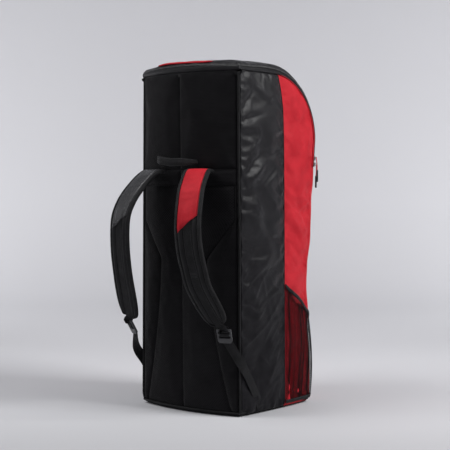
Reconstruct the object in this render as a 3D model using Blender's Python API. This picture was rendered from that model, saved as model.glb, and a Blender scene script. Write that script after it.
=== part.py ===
"""A tall backpack duffle for hockey equipment, standing upright on its base.

Frame: the origin is the middle of the base's underside, +Z is up, -Y is the padded back with
the shoulder straps, +Y is the front that the lid folds over, and +X is the bag's right side.
Each sewn panel, pad, tape and fitting is a solid of its own, a little apart from its neighbours.
"""

import math

import bmesh
import bpy
from mathutils import Euler, Matrix, Vector

# Driving dimensions of the bag's shell.
SEAM_HEIGHT = 0.880
BASE_WIDTH = 0.345
TOP_WIDTH = 0.332
BACK_Y = -0.145
BACK_BULGE_BASE = 0.028
BACK_BULGE_TOP = 0.042
SIDE_BULGE = 0.006
FRONT_CROWN = 0.008
SHOULDER = 0.025
CURVE_Z = 0.715
CURVE_Y = 0.0
TUCK = 0.008
TUCK_HEIGHT = 0.030
WALL_FOOT = 0.010
BASE_ROUNDING = 0.006
BOARD_MARGIN = 0.022
BOARD_THICKNESS = 0.003

# Height and side-seam depth of the front edge, from the base to where the top curve starts.
FRONT_EDGE = [
    (0.0, 0.146),
    (0.12, 0.143),
    (0.24, 0.137),
    (0.33, 0.131),
    (0.43, 0.148),
    (0.55, 0.158),
    (CURVE_Z, 0.175),
]

# Wall build-up and seams.
WALL = 0.004
PAD = 0.009
TAPE = 0.002
SEAM_GAP = 0.0006
BEND_GAP = 0.0020
STIFFENER_GAP = 0.0035
STIFFENER_MARGIN = 0.030
PIPING_RADIUS = 0.003
THIN_PIPING_RADIUS = 0.0016
PIPING_DEPTH = 0.0027
PIPING_Y = 0.034

# The lid and its zip.
HINGE_Z = 0.640
RIM_WIDTH = 0.0065
ZIP_WIDTH = 0.008
INSERT_LIFT = 0.0018
INSERT_BACK_DROP = 0.0012
INSERT_BACK_GAP = 0.030
INSERT_START = 1.05
INSERT_THICKNESS = 0.0012
INSERT_HALF_BACK = 0.085
INSERT_HALF_FRONT = 0.112
SLIDER_SIZE = Vector((0.009, 0.004, 0.012))
SLIDER_CLEARANCE = 0.0008
SLIDER_BEVEL = 0.0008
EYE_REACH = 0.0052
EYE_RISE = 0.002
PULL_CORD_LENGTH = 0.034
PULL_GRIP_LENGTH = 0.032
PULL_CORD_RADIUS = 0.0014
PULL_GRIP_RADIUS = 0.0026
SMALL_GAP = 0.0004

# Back panel seams: heights of the yoke and of the corners of the lower pads.
YOKE_LOW = 0.588
YOKE_HIGH = 0.630
PAD_WAIST_Z = 0.400
PAD_WAIST_X = 0.080
PAD_KNEE_Z = 0.500
PAD_FOOT_X = 0.146

# The side pockets.
POCKET_FOOT = 0.020
POCKET_TOP = 0.322
POCKET_SLOPE = 0.72
POCKET_STAND_OFF = 0.003
POCKET_BULGE = 0.011
POCKET_MOUTH = 0.008
MESH = 0.0016
BINDING = 0.0022
ELASTIC_WIDTH = 0.009
HEM_WIDTH = 0.0079

SIDE_ROWS = 12

# The front pocket.
FRONT_POCKET_HALF = 0.105
FRONT_POCKET_LOW = 0.075
FRONT_POCKET_HIGH = 0.470
FRONT_POCKET_DEPTH = 0.022
FRONT_ZIP_Z = 0.436
FRONT_SLIDER_X = 0.074
FRONT_ZIP_MARGIN = 0.019
FRONT_SLIDER_LIFT = 0.0027
FRONT_PULL_RADIUS = 0.0019

# The shoulder straps: centre line of the right pad, from the yoke seam to its tip.
STRAP_ROUTE = [
    (0.073, -0.1850, 0.6250),
    (0.079, -0.2050, 0.6240),
    (0.088, -0.2260, 0.6080),
    (0.098, -0.2500, 0.5800),
    (0.108, -0.2680, 0.5500),
    (0.115, -0.2810, 0.5150),
    (0.117, -0.2850, 0.4770),
    (0.120, -0.2810, 0.4270),
    (0.124, -0.2720, 0.3850),
    (0.128, -0.2600, 0.3420),
    (0.137, -0.2420, 0.3030),
    (0.149, -0.2200, 0.2620),
    (0.156, -0.2060, 0.2400),
]
STRAP_HALF_WIDTH = 0.0375
STRAP_TIP_HALF_WIDTH = 0.020
STRAP_THICKNESS = 0.011
STRAP_TWIST = math.radians(9)
WEBBING_HALF_WIDTH = 0.015
WEBBING = 0.0016
LAYER_GAP = 0.0010

# The adjusting webbing, from the ladder lock to the foot of the side panel.
ADJUSTER_ROUTE = [
    (0.1680, -0.1885, 0.1925),
    (0.1765, -0.1600, 0.1520),
    (0.1790, -0.1300, 0.1120),
    (0.1790, -0.1020, 0.0700),
    (0.1775, -0.0800, 0.0350),
    (0.1765, -0.0700, 0.0170),
]
LOCK_CENTRE = Vector((0.1615, -0.1965, 0.2150))
LOCK_SIZE = Vector((0.038, 0.005, 0.034))
LOCK_RAIL = 0.004
LOCK_SLOTS = [(-0.009, -0.002), (0.005, 0.012)]

HANDLE_HALF = 0.060
HANDLE_REACH = 0.034
HANDLE_HEIGHT = 0.028
HANDLE_THICKNESS = 0.005
HANDLE_Z = 0.655


def clear_scene():
    for obj in list(bpy.data.objects):
        bpy.data.objects.remove(obj, do_unlink=True)


def material(name, color, roughness, metallic=0.0):
    found = bpy.data.materials.get(name)
    if found:
        return found
    made = bpy.data.materials.new(name)
    made.use_nodes = True
    shader = made.node_tree.nodes["Principled BSDF"]
    shader.inputs["Base Color"].default_value = (*color, 1.0)
    shader.inputs["Roughness"].default_value = roughness
    shader.inputs["Metallic"].default_value = metallic
    made.diffuse_color = (*color, 1.0)
    return made


def red_polyester():
    return material("red_polyester", (0.54, 0.025, 0.040), 0.62)


def black_nylon():
    return material("black_nylon", (0.030, 0.029, 0.033), 0.42)


def air_mesh():
    return material("black_air_mesh", (0.012, 0.011, 0.013), 0.85)


def webbing_black():
    return material("black_webbing", (0.015, 0.015, 0.017), 0.70)


def net_black():
    return material("black_net", (0.020, 0.020, 0.022), 0.75)


def board_black():
    return material("stiff_board", (0.05, 0.05, 0.05), 0.60)


def buckle_plastic():
    return material("buckle_plastic", (0.035, 0.035, 0.038), 0.38)


def slider_metal():
    return material("slider_metal", (0.60, 0.60, 0.62), 0.28, 1.0)


def red_cord():
    return material("red_cord", (0.50, 0.030, 0.040), 0.60)


def lerp(a, b, t):
    return a + (b - a) * t


def steps(start, end, count):
    """Evenly spaced values, both ends included."""
    return [lerp(start, end, i / count) for i in range(count + 1)]


def catmull(values, t):
    """Value at t, from 0 to 1, on a smooth curve through evenly weighted values or vectors."""
    spans = len(values) - 1
    at = min(max(t, 0.0), 1.0) * spans
    i = min(int(at), spans - 1)
    f = at - i
    p1, p2 = values[i], values[i + 1]
    p0 = values[i - 1] if i > 0 else p1 + (p1 - p2)
    p3 = values[i + 2] if i + 2 <= spans else p2 + (p2 - p1)
    return (
        p1
        + (p2 - p0) * (0.5 * f)
        + (p0 * 2.0 - p1 * 5.0 + p2 * 4.0 - p3) * (0.5 * f * f)
        + (p1 * 3.0 - p0 - p2 * 3.0 + p3) * (0.5 * f * f * f)
    )


def half_width(z):
    """Half the bag's width at a height, less the tuck where the foot turns under."""
    return lerp(BASE_WIDTH, TOP_WIDTH, z / SEAM_HEIGHT) / 2 - foot_tuck(z)


def foot_tuck(z):
    return TUCK * max(0.0, 1.0 - z / TUCK_HEIGHT) ** 2


def back_y(x, z):
    """The padded back bows outwards between its two corner seams."""
    bulge = lerp(BACK_BULGE_BASE, BACK_BULGE_TOP, z / SEAM_HEIGHT)
    return BACK_Y + foot_tuck(z) - bulge * (1.0 - (x / half_width(z)) ** 2)


def front_edge_y(z):
    """Depth at which the flat side turns into the rounded front corner."""
    heights = [point[0] for point in FRONT_EDGE]
    i = max(k for k in range(len(heights) - 1) if heights[k] <= z)
    part = (z - heights[i]) / (heights[i + 1] - heights[i])
    return catmull([point[1] for point in FRONT_EDGE], (i + part) / (len(heights) - 1)) - foot_tuck(z)


CURVE_DEPTH = FRONT_EDGE[-1][1] - CURVE_Y
CURVE_RISE = SEAM_HEIGHT - CURVE_Z


def side_x(y, z, top):
    """The flat side, bowed out a little between its seams."""
    across = (y - BACK_Y) / (front_edge_y(min(z, CURVE_Z)) - BACK_Y)
    along = z / top
    bow = 4.0 * across * (1.0 - across) * (1.0 - along**8)
    return half_width(z) + SIDE_BULGE * max(0.0, bow)


def side_top(y, gap=0.0):
    """Height of the side panel's upper seam, less a gap square to it: level, then a quarter
    ellipse down to the front."""
    forward = max(0.0, y - CURVE_Y) / (CURVE_DEPTH - gap)
    return CURVE_Z + (CURVE_RISE - gap) * math.sqrt(max(0.0, 1.0 - forward**2))


def side_edge(s):
    """(y, z) on the side's front and top seam and the seam's outward normal, s from 0 at the
    base to 1 where the curve starts, 2 where it ends, and 3 at the back."""
    if s <= 1.0:
        return Vector((front_edge_y(s * CURVE_Z), s * CURVE_Z)), Vector((1.0, 0.0))
    if s <= 2.0:
        angle = (s - 1.0) * math.pi / 2
        spot = Vector((CURVE_Y + CURVE_DEPTH * math.cos(angle), CURVE_Z + CURVE_RISE * math.sin(angle)))
        return spot, Vector((math.cos(angle) / CURVE_DEPTH, math.sin(angle) / CURVE_RISE)).normalized()
    return Vector((CURVE_Y, SEAM_HEIGHT)), Vector((0.0, 1.0))


def wrap_half(z):
    """Half the length across the front and top, round both shoulders, from seam to seam."""
    return half_width(z) - SHOULDER + SHOULDER * math.pi / 2


def wrap_point(inset, s):
    """A point on the front and top skin. inset is the distance in from the nearer side seam,
    signed by the side it is on; the middle is at plus or minus wrap_half."""
    (y, z), normal = side_edge(s)
    reach = abs(inset)
    side = math.copysign(1.0, inset)
    flat = half_width(z) - SHOULDER
    if reach < SHOULDER * math.pi / 2:
        turn = reach / SHOULDER
        x = flat + SHOULDER * math.cos(turn)
        rise = SHOULDER * math.sin(turn)
    else:
        x = flat - (reach - SHOULDER * math.pi / 2)
        rise = SHOULDER + FRONT_CROWN * (1.0 - (x / flat) ** 2)
    if s > 2.0:
        depth = CURVE_Y - back_y(x, SEAM_HEIGHT)
        level = depth - SHOULDER
        travel = (s - 2.0) * (level + SHOULDER * math.pi / 2)
        if travel <= level:
            y = CURVE_Y - travel
        else:
            turn = (travel - level) / SHOULDER
            y = CURVE_Y - level - SHOULDER * math.sin(turn)
            rise *= math.cos(turn)
    return Vector((side * x, y + normal.x * rise, z + normal.y * rise))


def across_wrap(t, s, inset_right, inset_left):
    """The skin point at t, 0 on the right to 1 on the left, between two insets from the seams."""
    _, z = side_edge(s)[0]
    half = wrap_half(z)
    reach = lerp(-(half - inset_right), half - inset_left, t)
    inset = half - abs(reach)
    return wrap_point(inset if reach <= 0 else -inset, s)


def finish(obj, shade):
    obj.data.materials.append(shade)
    obj.data.shade_smooth()
    obj.data.set_sharp_from_angle(angle=math.radians(35))
    bpy.context.scene.collection.objects.link(obj)
    return obj


def place(obj, pivot):
    """Moves the object's origin to its pivot and leaves its shape where it was."""
    obj.data.transform(bpy.data.objects[pivot].matrix_world.inverted())
    obj.parent = bpy.data.objects[pivot]
    return obj


def pivot(name, position):
    empty = bpy.data.objects.new(name, None)
    empty.location = position
    empty.empty_display_size = 0.02
    bpy.context.scene.collection.objects.link(empty)
    bpy.context.view_layer.update()
    return name


def panel(name, point, us, vs, outward, thickness, shade):
    """A sewn panel: a grid of outer points from point(u, v), given its thickness inwards."""
    bm = bmesh.new()
    rows = [[bm.verts.new(point(u, v)) for v in vs] for u in us]
    for a, b in zip(rows, rows[1:]):
        for i in range(len(vs) - 1):
            bm.faces.new((a[i], b[i], b[i + 1], a[i + 1]))
    bm.normal_update()
    facing = sum((face.normal * face.calc_area() for face in bm.faces), Vector())
    if facing.dot(outward) < 0:
        bmesh.ops.reverse_faces(bm, faces=bm.faces)
    mesh = bpy.data.meshes.new(name)
    bm.to_mesh(mesh)
    bm.free()
    obj = finish(bpy.data.objects.new(name, mesh), shade)
    wall = obj.modifiers.new("thickness", "SOLIDIFY")
    wall.thickness = thickness
    wall.offset = -1.0
    return obj


def rings_to_solid(name, rings, shade):
    """A closed solid through rings of points, with a flat cap at each end."""
    bm = bmesh.new()
    made = [[bm.verts.new(point) for point in ring] for ring in rings]
    count = len(made[0])
    for a, b in zip(made, made[1:]):
        for i in range(count):
            j = (i + 1) % count
            bm.faces.new((a[i], a[j], b[j], b[i]))
    bm.faces.new(list(reversed(made[0])))
    bm.faces.new(made[-1])
    bmesh.ops.recalc_face_normals(bm, faces=bm.faces)
    mesh = bpy.data.meshes.new(name)
    bm.to_mesh(mesh)
    bm.free()
    return finish(bpy.data.objects.new(name, mesh), shade)


def strip(name, route, span, widths, half_thickness, across, section, shade, lift=0.0):
    """A flat strip swept along the stations of route that span gives, first and last included.
    across gives its width direction at a station; lift raises it off the route on one face."""
    rings = []
    for i in range(span[0], span[1] + 1):
        ahead = route[min(i + 1, len(route) - 1)] - route[max(i - 1, 0)]
        wide = across(i)
        wide = (wide - ahead * (wide.dot(ahead) / ahead.dot(ahead))).normalized()
        out = wide.cross(ahead).normalized()
        middle = route[i] + out * lift
        rings.append(
            [middle + wide * (u * widths(i)) + out * (v * half_thickness) for u, v in section]
        )
    return rings_to_solid(name, rings, shade)


FLAT_SECTION = [(-1, -1), (1, -1), (1, 1), (-1, 1)]
PADDED_SECTION = [(-1, -0.3), (-0.86, -1), (0.86, -1), (1, -0.3), (1, 0.3), (0.86, 1), (-0.86, 1), (-1, 0.3)]


def mirrored(points, side):
    return [Vector((point[0] * side, point[1], point[2])) for point in points]


def smooth_route(points, count):
    return [catmull(points, i / count) for i in range(count + 1)]


def tube(name, route, radius, shade, resolution=1):
    """A round piping cord or pull cord along a POLY spline, with filled caps."""
    curve = bpy.data.curves.new(name, "CURVE")
    curve.dimensions = "3D"
    curve.bevel_depth = radius
    curve.bevel_resolution = resolution
    curve.use_fill_caps = True
    spline = curve.splines.new("POLY")
    spline.points.add(len(route) - 1)
    for spot, point in zip(route, spline.points):
        point.co = (*spot, 1.0)
    curve.materials.append(shade)
    obj = bpy.data.objects.new(name, curve)
    bpy.context.scene.collection.objects.link(obj)
    return obj


def block(name, centre, size, turn, bevel, shade):
    """A bevelled block turned by an angle about Z."""
    bm = bmesh.new()
    bmesh.ops.create_cube(bm, size=1.0)
    bmesh.ops.scale(bm, vec=size, verts=bm.verts)
    if bevel:
        bmesh.ops.bevel(bm, geom=bm.edges, offset=bevel, segments=1, affect="EDGES")
    mesh = bpy.data.meshes.new(name)
    bm.to_mesh(mesh)
    bm.free()
    obj = finish(bpy.data.objects.new(name, mesh), shade)
    obj.location = centre
    obj.rotation_euler = (0.0, 0.0, turn)
    return obj


def plan_outline(z, inset):
    """The bag's outline seen from above, anticlockwise from the back right corner."""
    half = half_width(z) - inset
    front = front_edge_y(z)
    points = [Vector((half, BACK_Y + foot_tuck(z) + inset))]
    reach = SHOULDER - inset
    for i in range(7):
        turn = math.radians(15 * i)
        points.append(Vector((half - reach + reach * math.cos(turn), front + reach * math.sin(turn))))
    for i in range(5):
        x = (half - reach) * (1 - i / 2.5)
        crown = FRONT_CROWN * (1.0 - (x / (half - reach)) ** 2)
        if 0 < i:
            points.append(Vector((x, front + reach + crown)))
    points += [Vector((-point.x, point.y)) for point in reversed(points[1:7])]
    points.append(Vector((-half, BACK_Y + foot_tuck(z) + inset)))
    for i in range(1, 8):
        x = -half + half * i / 4
        points.append(Vector((x, back_y(x * half_width(z) / half, z) + inset)))
    return points


def slab(name, layers, shade):
    """A solid through plan outlines at heights, given as (z, outline) pairs."""
    rings = [[Vector((point.x, point.y, z)) for point in outline] for z, outline in layers]
    return rings_to_solid(name, rings, shade)


def build_base():
    """The base panel with its turned-up edge, and the stiff board that lies inside on it."""
    flat = WALL_FOOT - SEAM_GAP
    turned_up = [
        (0.0, plan_outline(0.0, BASE_ROUNDING)),
        (BASE_ROUNDING / 2, plan_outline(0.0, BASE_ROUNDING / 6)),
        (flat, plan_outline(flat, BASE_ROUNDING / 12)),
    ]
    slab("base_panel", turned_up, black_nylon())
    board = plan_outline(TUCK_HEIGHT, BOARD_MARGIN)
    slab("base_board", [(WALL_FOOT, board), (WALL_FOOT + BOARD_THICKNESS, board)], board_black())


def pad_edge_x(z):
    """Half width of the middle lower pads: in from the sides to the waist, then out to the foot."""
    if z > PAD_KNEE_Z:
        return half_width(z) - 0.012
    if z > PAD_WAIST_Z:
        part = (z - PAD_WAIST_Z) / (PAD_KNEE_Z - PAD_WAIST_Z)
        return lerp(PAD_WAIST_X, half_width(z) - 0.012, part)
    part = (PAD_WAIST_Z - z) / (PAD_WAIST_Z - WALL_FOOT)
    return lerp(PAD_WAIST_X, PAD_FOOT_X, part**1.6)


def back_edge_x(z):
    """Where the padded back stops, short of the corner piping."""
    return half_width(z) - 2 * PIPING_RADIUS - 2 * SEAM_GAP


def build_back():
    """The padded air-mesh back: foam pads between sewn channels, a yoke band, a stiffener sheet
    inside, and a piped seam down each corner."""
    facing = Vector((0, -1, 0))

    def pad(name, side, inner, outer, low, high, columns, rows):
        def point(u, v):
            z = lerp(low, high, v)
            x = side * lerp(inner(z), outer(z), u)
            return Vector((x, back_y(x, z), z))

        panel(name, point, steps(0, 1, columns), steps(0, 1, rows), facing, PAD, air_mesh())

    def middle(_):
        return SEAM_GAP

    for label, side in (("right", 1), ("left", -1)):
        upper_low, upper_high = YOKE_HIGH + SEAM_GAP, SEAM_HEIGHT - SEAM_GAP
        pad(f"back_pad_upper_{label}", side, middle, back_edge_x, upper_low, upper_high, 5, 3)
        pad(
            f"back_pad_middle_{label}",
            side,
            middle,
            lambda z: pad_edge_x(z) - SEAM_GAP,
            WALL_FOOT,
            YOKE_LOW - SEAM_GAP,
            5,
            10,
        )
        pad(
            f"back_pad_side_{label}",
            side,
            lambda z: pad_edge_x(z) + SEAM_GAP,
            back_edge_x,
            WALL_FOOT,
            YOKE_LOW - SEAM_GAP,
            2,
            10,
        )
        edge = [
            Vector(
                (
                    side * (half_width(z) - PIPING_RADIUS - SMALL_GAP),
                    BACK_Y + foot_tuck(z) + PIPING_DEPTH,
                    z,
                )
            )
            for z in (WALL_FOOT + 0.0015, 0.016, 0.022, 0.03, 0.2, 0.45, 0.7, SEAM_HEIGHT - 0.003)
        ]
        tube(f"corner_piping_{label}", edge, PIPING_RADIUS, webbing_black())

    def yoke(u, v):
        z = lerp(YOKE_LOW, YOKE_HIGH, v)
        x = lerp(-back_edge_x(z), back_edge_x(z), u)
        return Vector((x, back_y(x, z), z))

    panel("back_yoke", yoke, steps(0, 1, 10), steps(0, 1, 1), facing, PAD, air_mesh())

    def sheet(u, v):
        z = lerp(STIFFENER_MARGIN, SEAM_HEIGHT - STIFFENER_MARGIN, v)
        x = lerp(-1, 1, u) * (half_width(z) - STIFFENER_MARGIN)
        return Vector((x, back_y(x, z) + PAD + STIFFENER_GAP, z))

    panel("back_stiffener", sheet, steps(0, 1, 10), steps(0, 1, 3), facing, TAPE, board_black())


def piping_y(z):
    """The seam between a side's black and red panels runs straight and leans back near the top."""
    return PIPING_Y - 0.018 * max(0.0, (z - 0.76) / 0.12) ** 2


def build_sides():
    """Each side: a black nylon panel behind, thin piping, then a red panel that turns round the
    front corner as far as the lid's hinge line."""
    for label, side in (("right", 1), ("left", -1)):
        facing = Vector((side, 0, 0))

        def black(u, v):
            low, high = BACK_Y + 2 * PIPING_RADIUS + SEAM_GAP / 2, PIPING_Y
            guess = lerp(low, high, u)
            z = lerp(WALL_FOOT, side_top(guess) - SEAM_GAP, v)
            y = lerp(low + foot_tuck(z), piping_y(z) - THIN_PIPING_RADIUS - SEAM_GAP / 2, u)
            return Vector((side * side_x(y, z, side_top(y)), y, z))

        rows = steps(0, 1, SIDE_ROWS)
        panel(f"side_black_{label}", black, steps(0, 1, 5), rows, facing, WALL, black_nylon())

        def red(u, v):
            turn = u * math.pi / 2
            start = piping_y(SEAM_HEIGHT) + THIN_PIPING_RADIUS
            depth = CURVE_DEPTH - BEND_GAP
            reach = lerp(start, depth, math.sin(turn)) if u < 1 else depth
            top = side_top(reach, BEND_GAP)
            z = lerp(WALL_FOOT, top, v)
            near = piping_y(z) + THIN_PIPING_RADIUS + SEAM_GAP / 2
            far = front_edge_y(min(z, CURVE_Z)) - BEND_GAP
            share = (reach - start) / (depth - start)
            y = lerp(near, far, share)
            return Vector((side * side_x(y, z, max(top, z)), y, z))

        panel(f"side_red_{label}", red, steps(0, 1, 8), steps(0, 1, SIDE_ROWS), facing, WALL, red_polyester())

        def corner(u, v):
            s = lerp(WALL_FOOT, HINGE_Z - SEAM_GAP, v) / CURVE_Z
            inset = lerp(SEAM_GAP, SHOULDER * math.pi / 2 - SEAM_GAP, u)
            return wrap_point(side * inset, s)

        outward = Vector((side, 1, 0))
        rows = steps(0, 1, SIDE_ROWS - 1)
        panel(f"front_corner_{label}", corner, steps(0, 1, 3), rows, outward, WALL, red_polyester())

        seam = []
        for z in steps(WALL_FOOT + SEAM_GAP, SEAM_HEIGHT - 0.002, SIDE_ROWS):
            y = piping_y(z)
            seam.append(Vector((side * (side_x(y, z, side_top(y)) - THIN_PIPING_RADIUS), y, z)))
        tube(f"side_piping_{label}", seam, THIN_PIPING_RADIUS - 0.0001, webbing_black())


def build_front():
    """The front panel below the lid's hinge line, with a shallow zipped pocket sewn on it."""

    def front(t, v):
        s = lerp(WALL_FOOT, HINGE_Z - SEAM_GAP, v) / CURVE_Z
        inset = SHOULDER * math.pi / 2 + 2 * SEAM_GAP
        return across_wrap(t, s, inset, inset)

    facing = Vector((0, 1, 0))
    panel("front_panel", front, steps(0, 1, 8), steps(0, 1, 14), facing, WALL, red_polyester())

    def on_front(x, z):
        flat = half_width(z) - SHOULDER
        return front_edge_y(z) + SHOULDER + FRONT_CROWN * (1.0 - (x / flat) ** 2)

    def pocket_face(x, z):
        """The pocket is flat across its middle and rounds back to the panel at its edges."""
        edge_x = 1.0 - abs(x / FRONT_POCKET_HALF) ** 12
        edge_z = 1.0 - abs(2 * (z - FRONT_POCKET_LOW) / (FRONT_POCKET_HIGH - FRONT_POCKET_LOW) - 1) ** 10
        full = max(0.0, edge_x * edge_z) ** 0.5
        return lerp(on_front(x, z), on_front(0.0, z) + FRONT_POCKET_DEPTH, full) + 0.003

    rows, columns = 10, 10
    rings = []
    for z in steps(FRONT_POCKET_LOW, FRONT_POCKET_HIGH, rows):
        xs = [FRONT_POCKET_HALF * math.sin(math.pi / 2 * t) for t in steps(-1, 1, columns)]
        outer = [Vector((x, pocket_face(x, z), z)) for x in xs]
        inner = [Vector((x, on_front(x, z) + BEND_GAP, z)) for x in reversed(xs)]
        rings.append(outer + inner)
    rings_to_solid("front_pocket", rings, black_nylon())

    zip_y = on_front(0.0, FRONT_ZIP_Z) + 0.003 + FRONT_POCKET_DEPTH + TAPE + BEND_GAP / 2

    def tape(u, v):
        half = FRONT_POCKET_HALF - FRONT_ZIP_MARGIN
        return Vector((lerp(-half, half, u), zip_y, FRONT_ZIP_Z + lerp(-0.004, 0.004, v)))

    panel("front_pocket_zip", tape, steps(0, 1, 1), steps(0, 1, 1), facing, TAPE, webbing_black())
    seat = Vector((FRONT_SLIDER_X, zip_y + FRONT_SLIDER_LIFT, FRONT_ZIP_Z))
    pivot("front_slider_path", seat)
    size = Vector((SLIDER_SIZE.z, SLIDER_SIZE.y, SLIDER_SIZE.x))
    slider = block("front_pocket_slider", Vector(), size, 0.0, 0.001, slider_metal())
    slider.parent = bpy.data.objects["front_slider_path"]
    hang = seat + Vector((0.0, EYE_REACH, EYE_RISE))
    pivot("front_pull_hinge", hang)
    drop = Vector((0, 0, PULL_CORD_LENGTH))
    cord = tube("front_pocket_pull", [hang, hang - drop / 2, hang - drop], FRONT_PULL_RADIUS, red_cord())
    place(cord, "front_pull_hinge")


def pocket_surface(reach, z, side, stand_off):
    """A point off the red side, reach from the piping, over the flat and round the corner."""
    flat = front_edge_y(z) - piping_y(z)
    if reach <= flat:
        y = piping_y(z) + reach
        return Vector((side * (side_x(y, z, side_top(y)) + stand_off), y, z))
    turn = (reach - flat) / SHOULDER
    radius = SHOULDER + stand_off
    x = half_width(z) - SHOULDER + radius * math.cos(turn)
    return Vector((side * x, front_edge_y(z) + radius * math.sin(turn), z))


def build_mesh_pockets():
    """A net pocket on each side that stands off the red panel, with an elastic top binding and a
    webbing hem. Its top slopes down towards the front."""
    length = front_edge_y(0.2) - PIPING_Y + SHOULDER * math.pi / 2 - 0.004
    for label, side in (("right", 1), ("left", -1)):

        def rim_z(reach):
            return POCKET_TOP - POCKET_SLOPE * reach

        def mouth(u):
            """The elastic keeps the pocket's mouth a little open over the flat of the side."""
            return POCKET_STAND_OFF + POCKET_MOUTH * math.sin(math.pi * min(1.0, u * 1.3)) ** 2

        def net(u, v):
            reach = lerp(0.004, length, u)
            z = lerp(POCKET_FOOT, rim_z(reach), v)
            along = math.sin(math.pi * min(1.0, u * 1.15) ** 1.2) ** 0.5 if 0 < u * 1.15 < 1 else 0.0
            up = math.sin(math.pi * v ** 0.8) if 0 < v < 1 else 0.0
            bulge = POCKET_BULGE * max(along, 0.55 * (0 < u < 1)) * up
            return pocket_surface(reach, z, side, lerp(POCKET_STAND_OFF, mouth(u), v) + bulge)

        outward = Vector((side, 0.6, 0))
        us = steps(0, 1, 10)
        panel(f"mesh_pocket_{label}", net, us, steps(0, 1, 8), outward, MESH, net_black())

        def elastic(u, v):
            reach = lerp(0.004, length, u)
            z = rim_z(reach) + SEAM_GAP + ELASTIC_WIDTH * v
            return pocket_surface(reach, z, side, mouth(u))

        panel(f"pocket_elastic_{label}", elastic, us, steps(0, 1, 1), outward, BINDING, webbing_black())

        def hem(u, v):
            reach = lerp(0.004, length, u)
            z = POCKET_FOOT - SEAM_GAP + HEM_WIDTH * (v - 1.0)
            return pocket_surface(reach, z, side, POCKET_STAND_OFF)

        panel(f"pocket_hem_{label}", hem, us, steps(0, 1, 1), outward, BINDING, webbing_black())


def build_lid():
    """The zipped lid: a black shell over the top and down the front to its hinge line, with a red
    insert. Round it run the bag's rim tape and the zip."""
    fixed_low = HINGE_Z / CURVE_Z
    rows = steps(fixed_low, 1.0, 1)[:-1] + steps(1.0, 2.0, 8) + steps(2.0, 3.0, 8)[1:]
    lid_inset = RIM_WIDTH + ZIP_WIDTH + BEND_GAP
    back_scale = CURVE_Y - back_y(0, SEAM_HEIGHT) - SHOULDER + SHOULDER * math.pi / 2

    def back_stop(inset):
        return 3.0 - inset / back_scale

    def side_band(name, side, near, far, thickness, shade):
        def band(u, v):
            low, high = 0, len(rows) - 1
            at = lerp(low, high, v)
            i = min(int(at), high - 1)
            s = lerp(rows[i], rows[i + 1], at - i)
            return wrap_point(side * lerp(near, far, u), min(s, back_stop(0.004)))

        outward = Vector((side, 0.4, 0.6))
        panel(name, band, steps(0, 1, 2), steps(0, 1, len(rows) - 1), outward, thickness, shade)

    def back_band(name, near, far, edge, thickness, shade):
        def band(u, v):
            return across_wrap(v, back_stop(lerp(near, far, u)), edge, edge)

        outward = Vector((0, -1, 0.6))
        panel(name, band, steps(0, 1, 2), steps(0, 1, 10), outward, thickness, shade)

    zip_near = RIM_WIDTH + BEND_GAP
    zip_far = RIM_WIDTH + ZIP_WIDTH
    for label, side in (("right", 1), ("left", -1)):
        side_band(f"lid_rim_{label}", side, BEND_GAP, RIM_WIDTH, WALL, black_nylon())
        side_band(f"lid_zip_{label}", side, zip_near, zip_far, TAPE, webbing_black())
    back_band("lid_rim_back", SEAM_GAP, RIM_WIDTH, lid_inset, WALL, black_nylon())
    back_band("lid_zip_back", zip_near, zip_far, lid_inset, TAPE, webbing_black())

    hinge_y = front_edge_y(HINGE_Z) + SHOULDER + FRONT_CROWN + SEAM_GAP
    pivot("lid_hinge", (0.0, hinge_y, HINGE_Z))
    lid_rows = [min(s, back_stop(lid_inset)) for s in rows]

    def shell(t, v):
        i = round(v * (len(lid_rows) - 1))
        return across_wrap(t, lid_rows[i], lid_inset, lid_inset)

    columns = [0.5 + 0.5 * math.sin(math.pi / 2 * t) for t in steps(-1, 1, 12)]
    shell_rows = steps(0, 1, len(lid_rows) - 1)
    up = Vector((0, 0.5, 1))
    place(panel("lid_shell", shell, columns, shell_rows, up, WALL, black_nylon()), "lid_hinge")

    insert_stop = back_stop(INSERT_BACK_GAP)
    insert_rows = sorted([s for s in lid_rows if INSERT_START < s <= insert_stop] + [insert_stop])

    def insert(t, v):
        s = insert_rows[round(v * (len(insert_rows) - 1))]
        slope = min(1.0, (insert_rows[-1] - s) / 0.22)
        half = wrap_half(SEAM_HEIGHT) - lerp(INSERT_HALF_BACK, INSERT_HALF_FRONT, slope)
        spot = across_wrap(t, s, half, half)
        (_, _), normal = side_edge(s)
        drop = INSERT_BACK_DROP if s > 2.8 else 0.0
        return spot + Vector((0, normal.x * INSERT_LIFT - drop, normal.y * INSERT_LIFT))

    rows_of_insert = steps(0, 1, len(insert_rows) - 1)
    columns = steps(0, 1, 10)
    piece = panel("lid_insert", insert, columns, rows_of_insert, up, INSERT_THICKNESS, red_polyester())
    place(piece, "lid_hinge")


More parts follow.
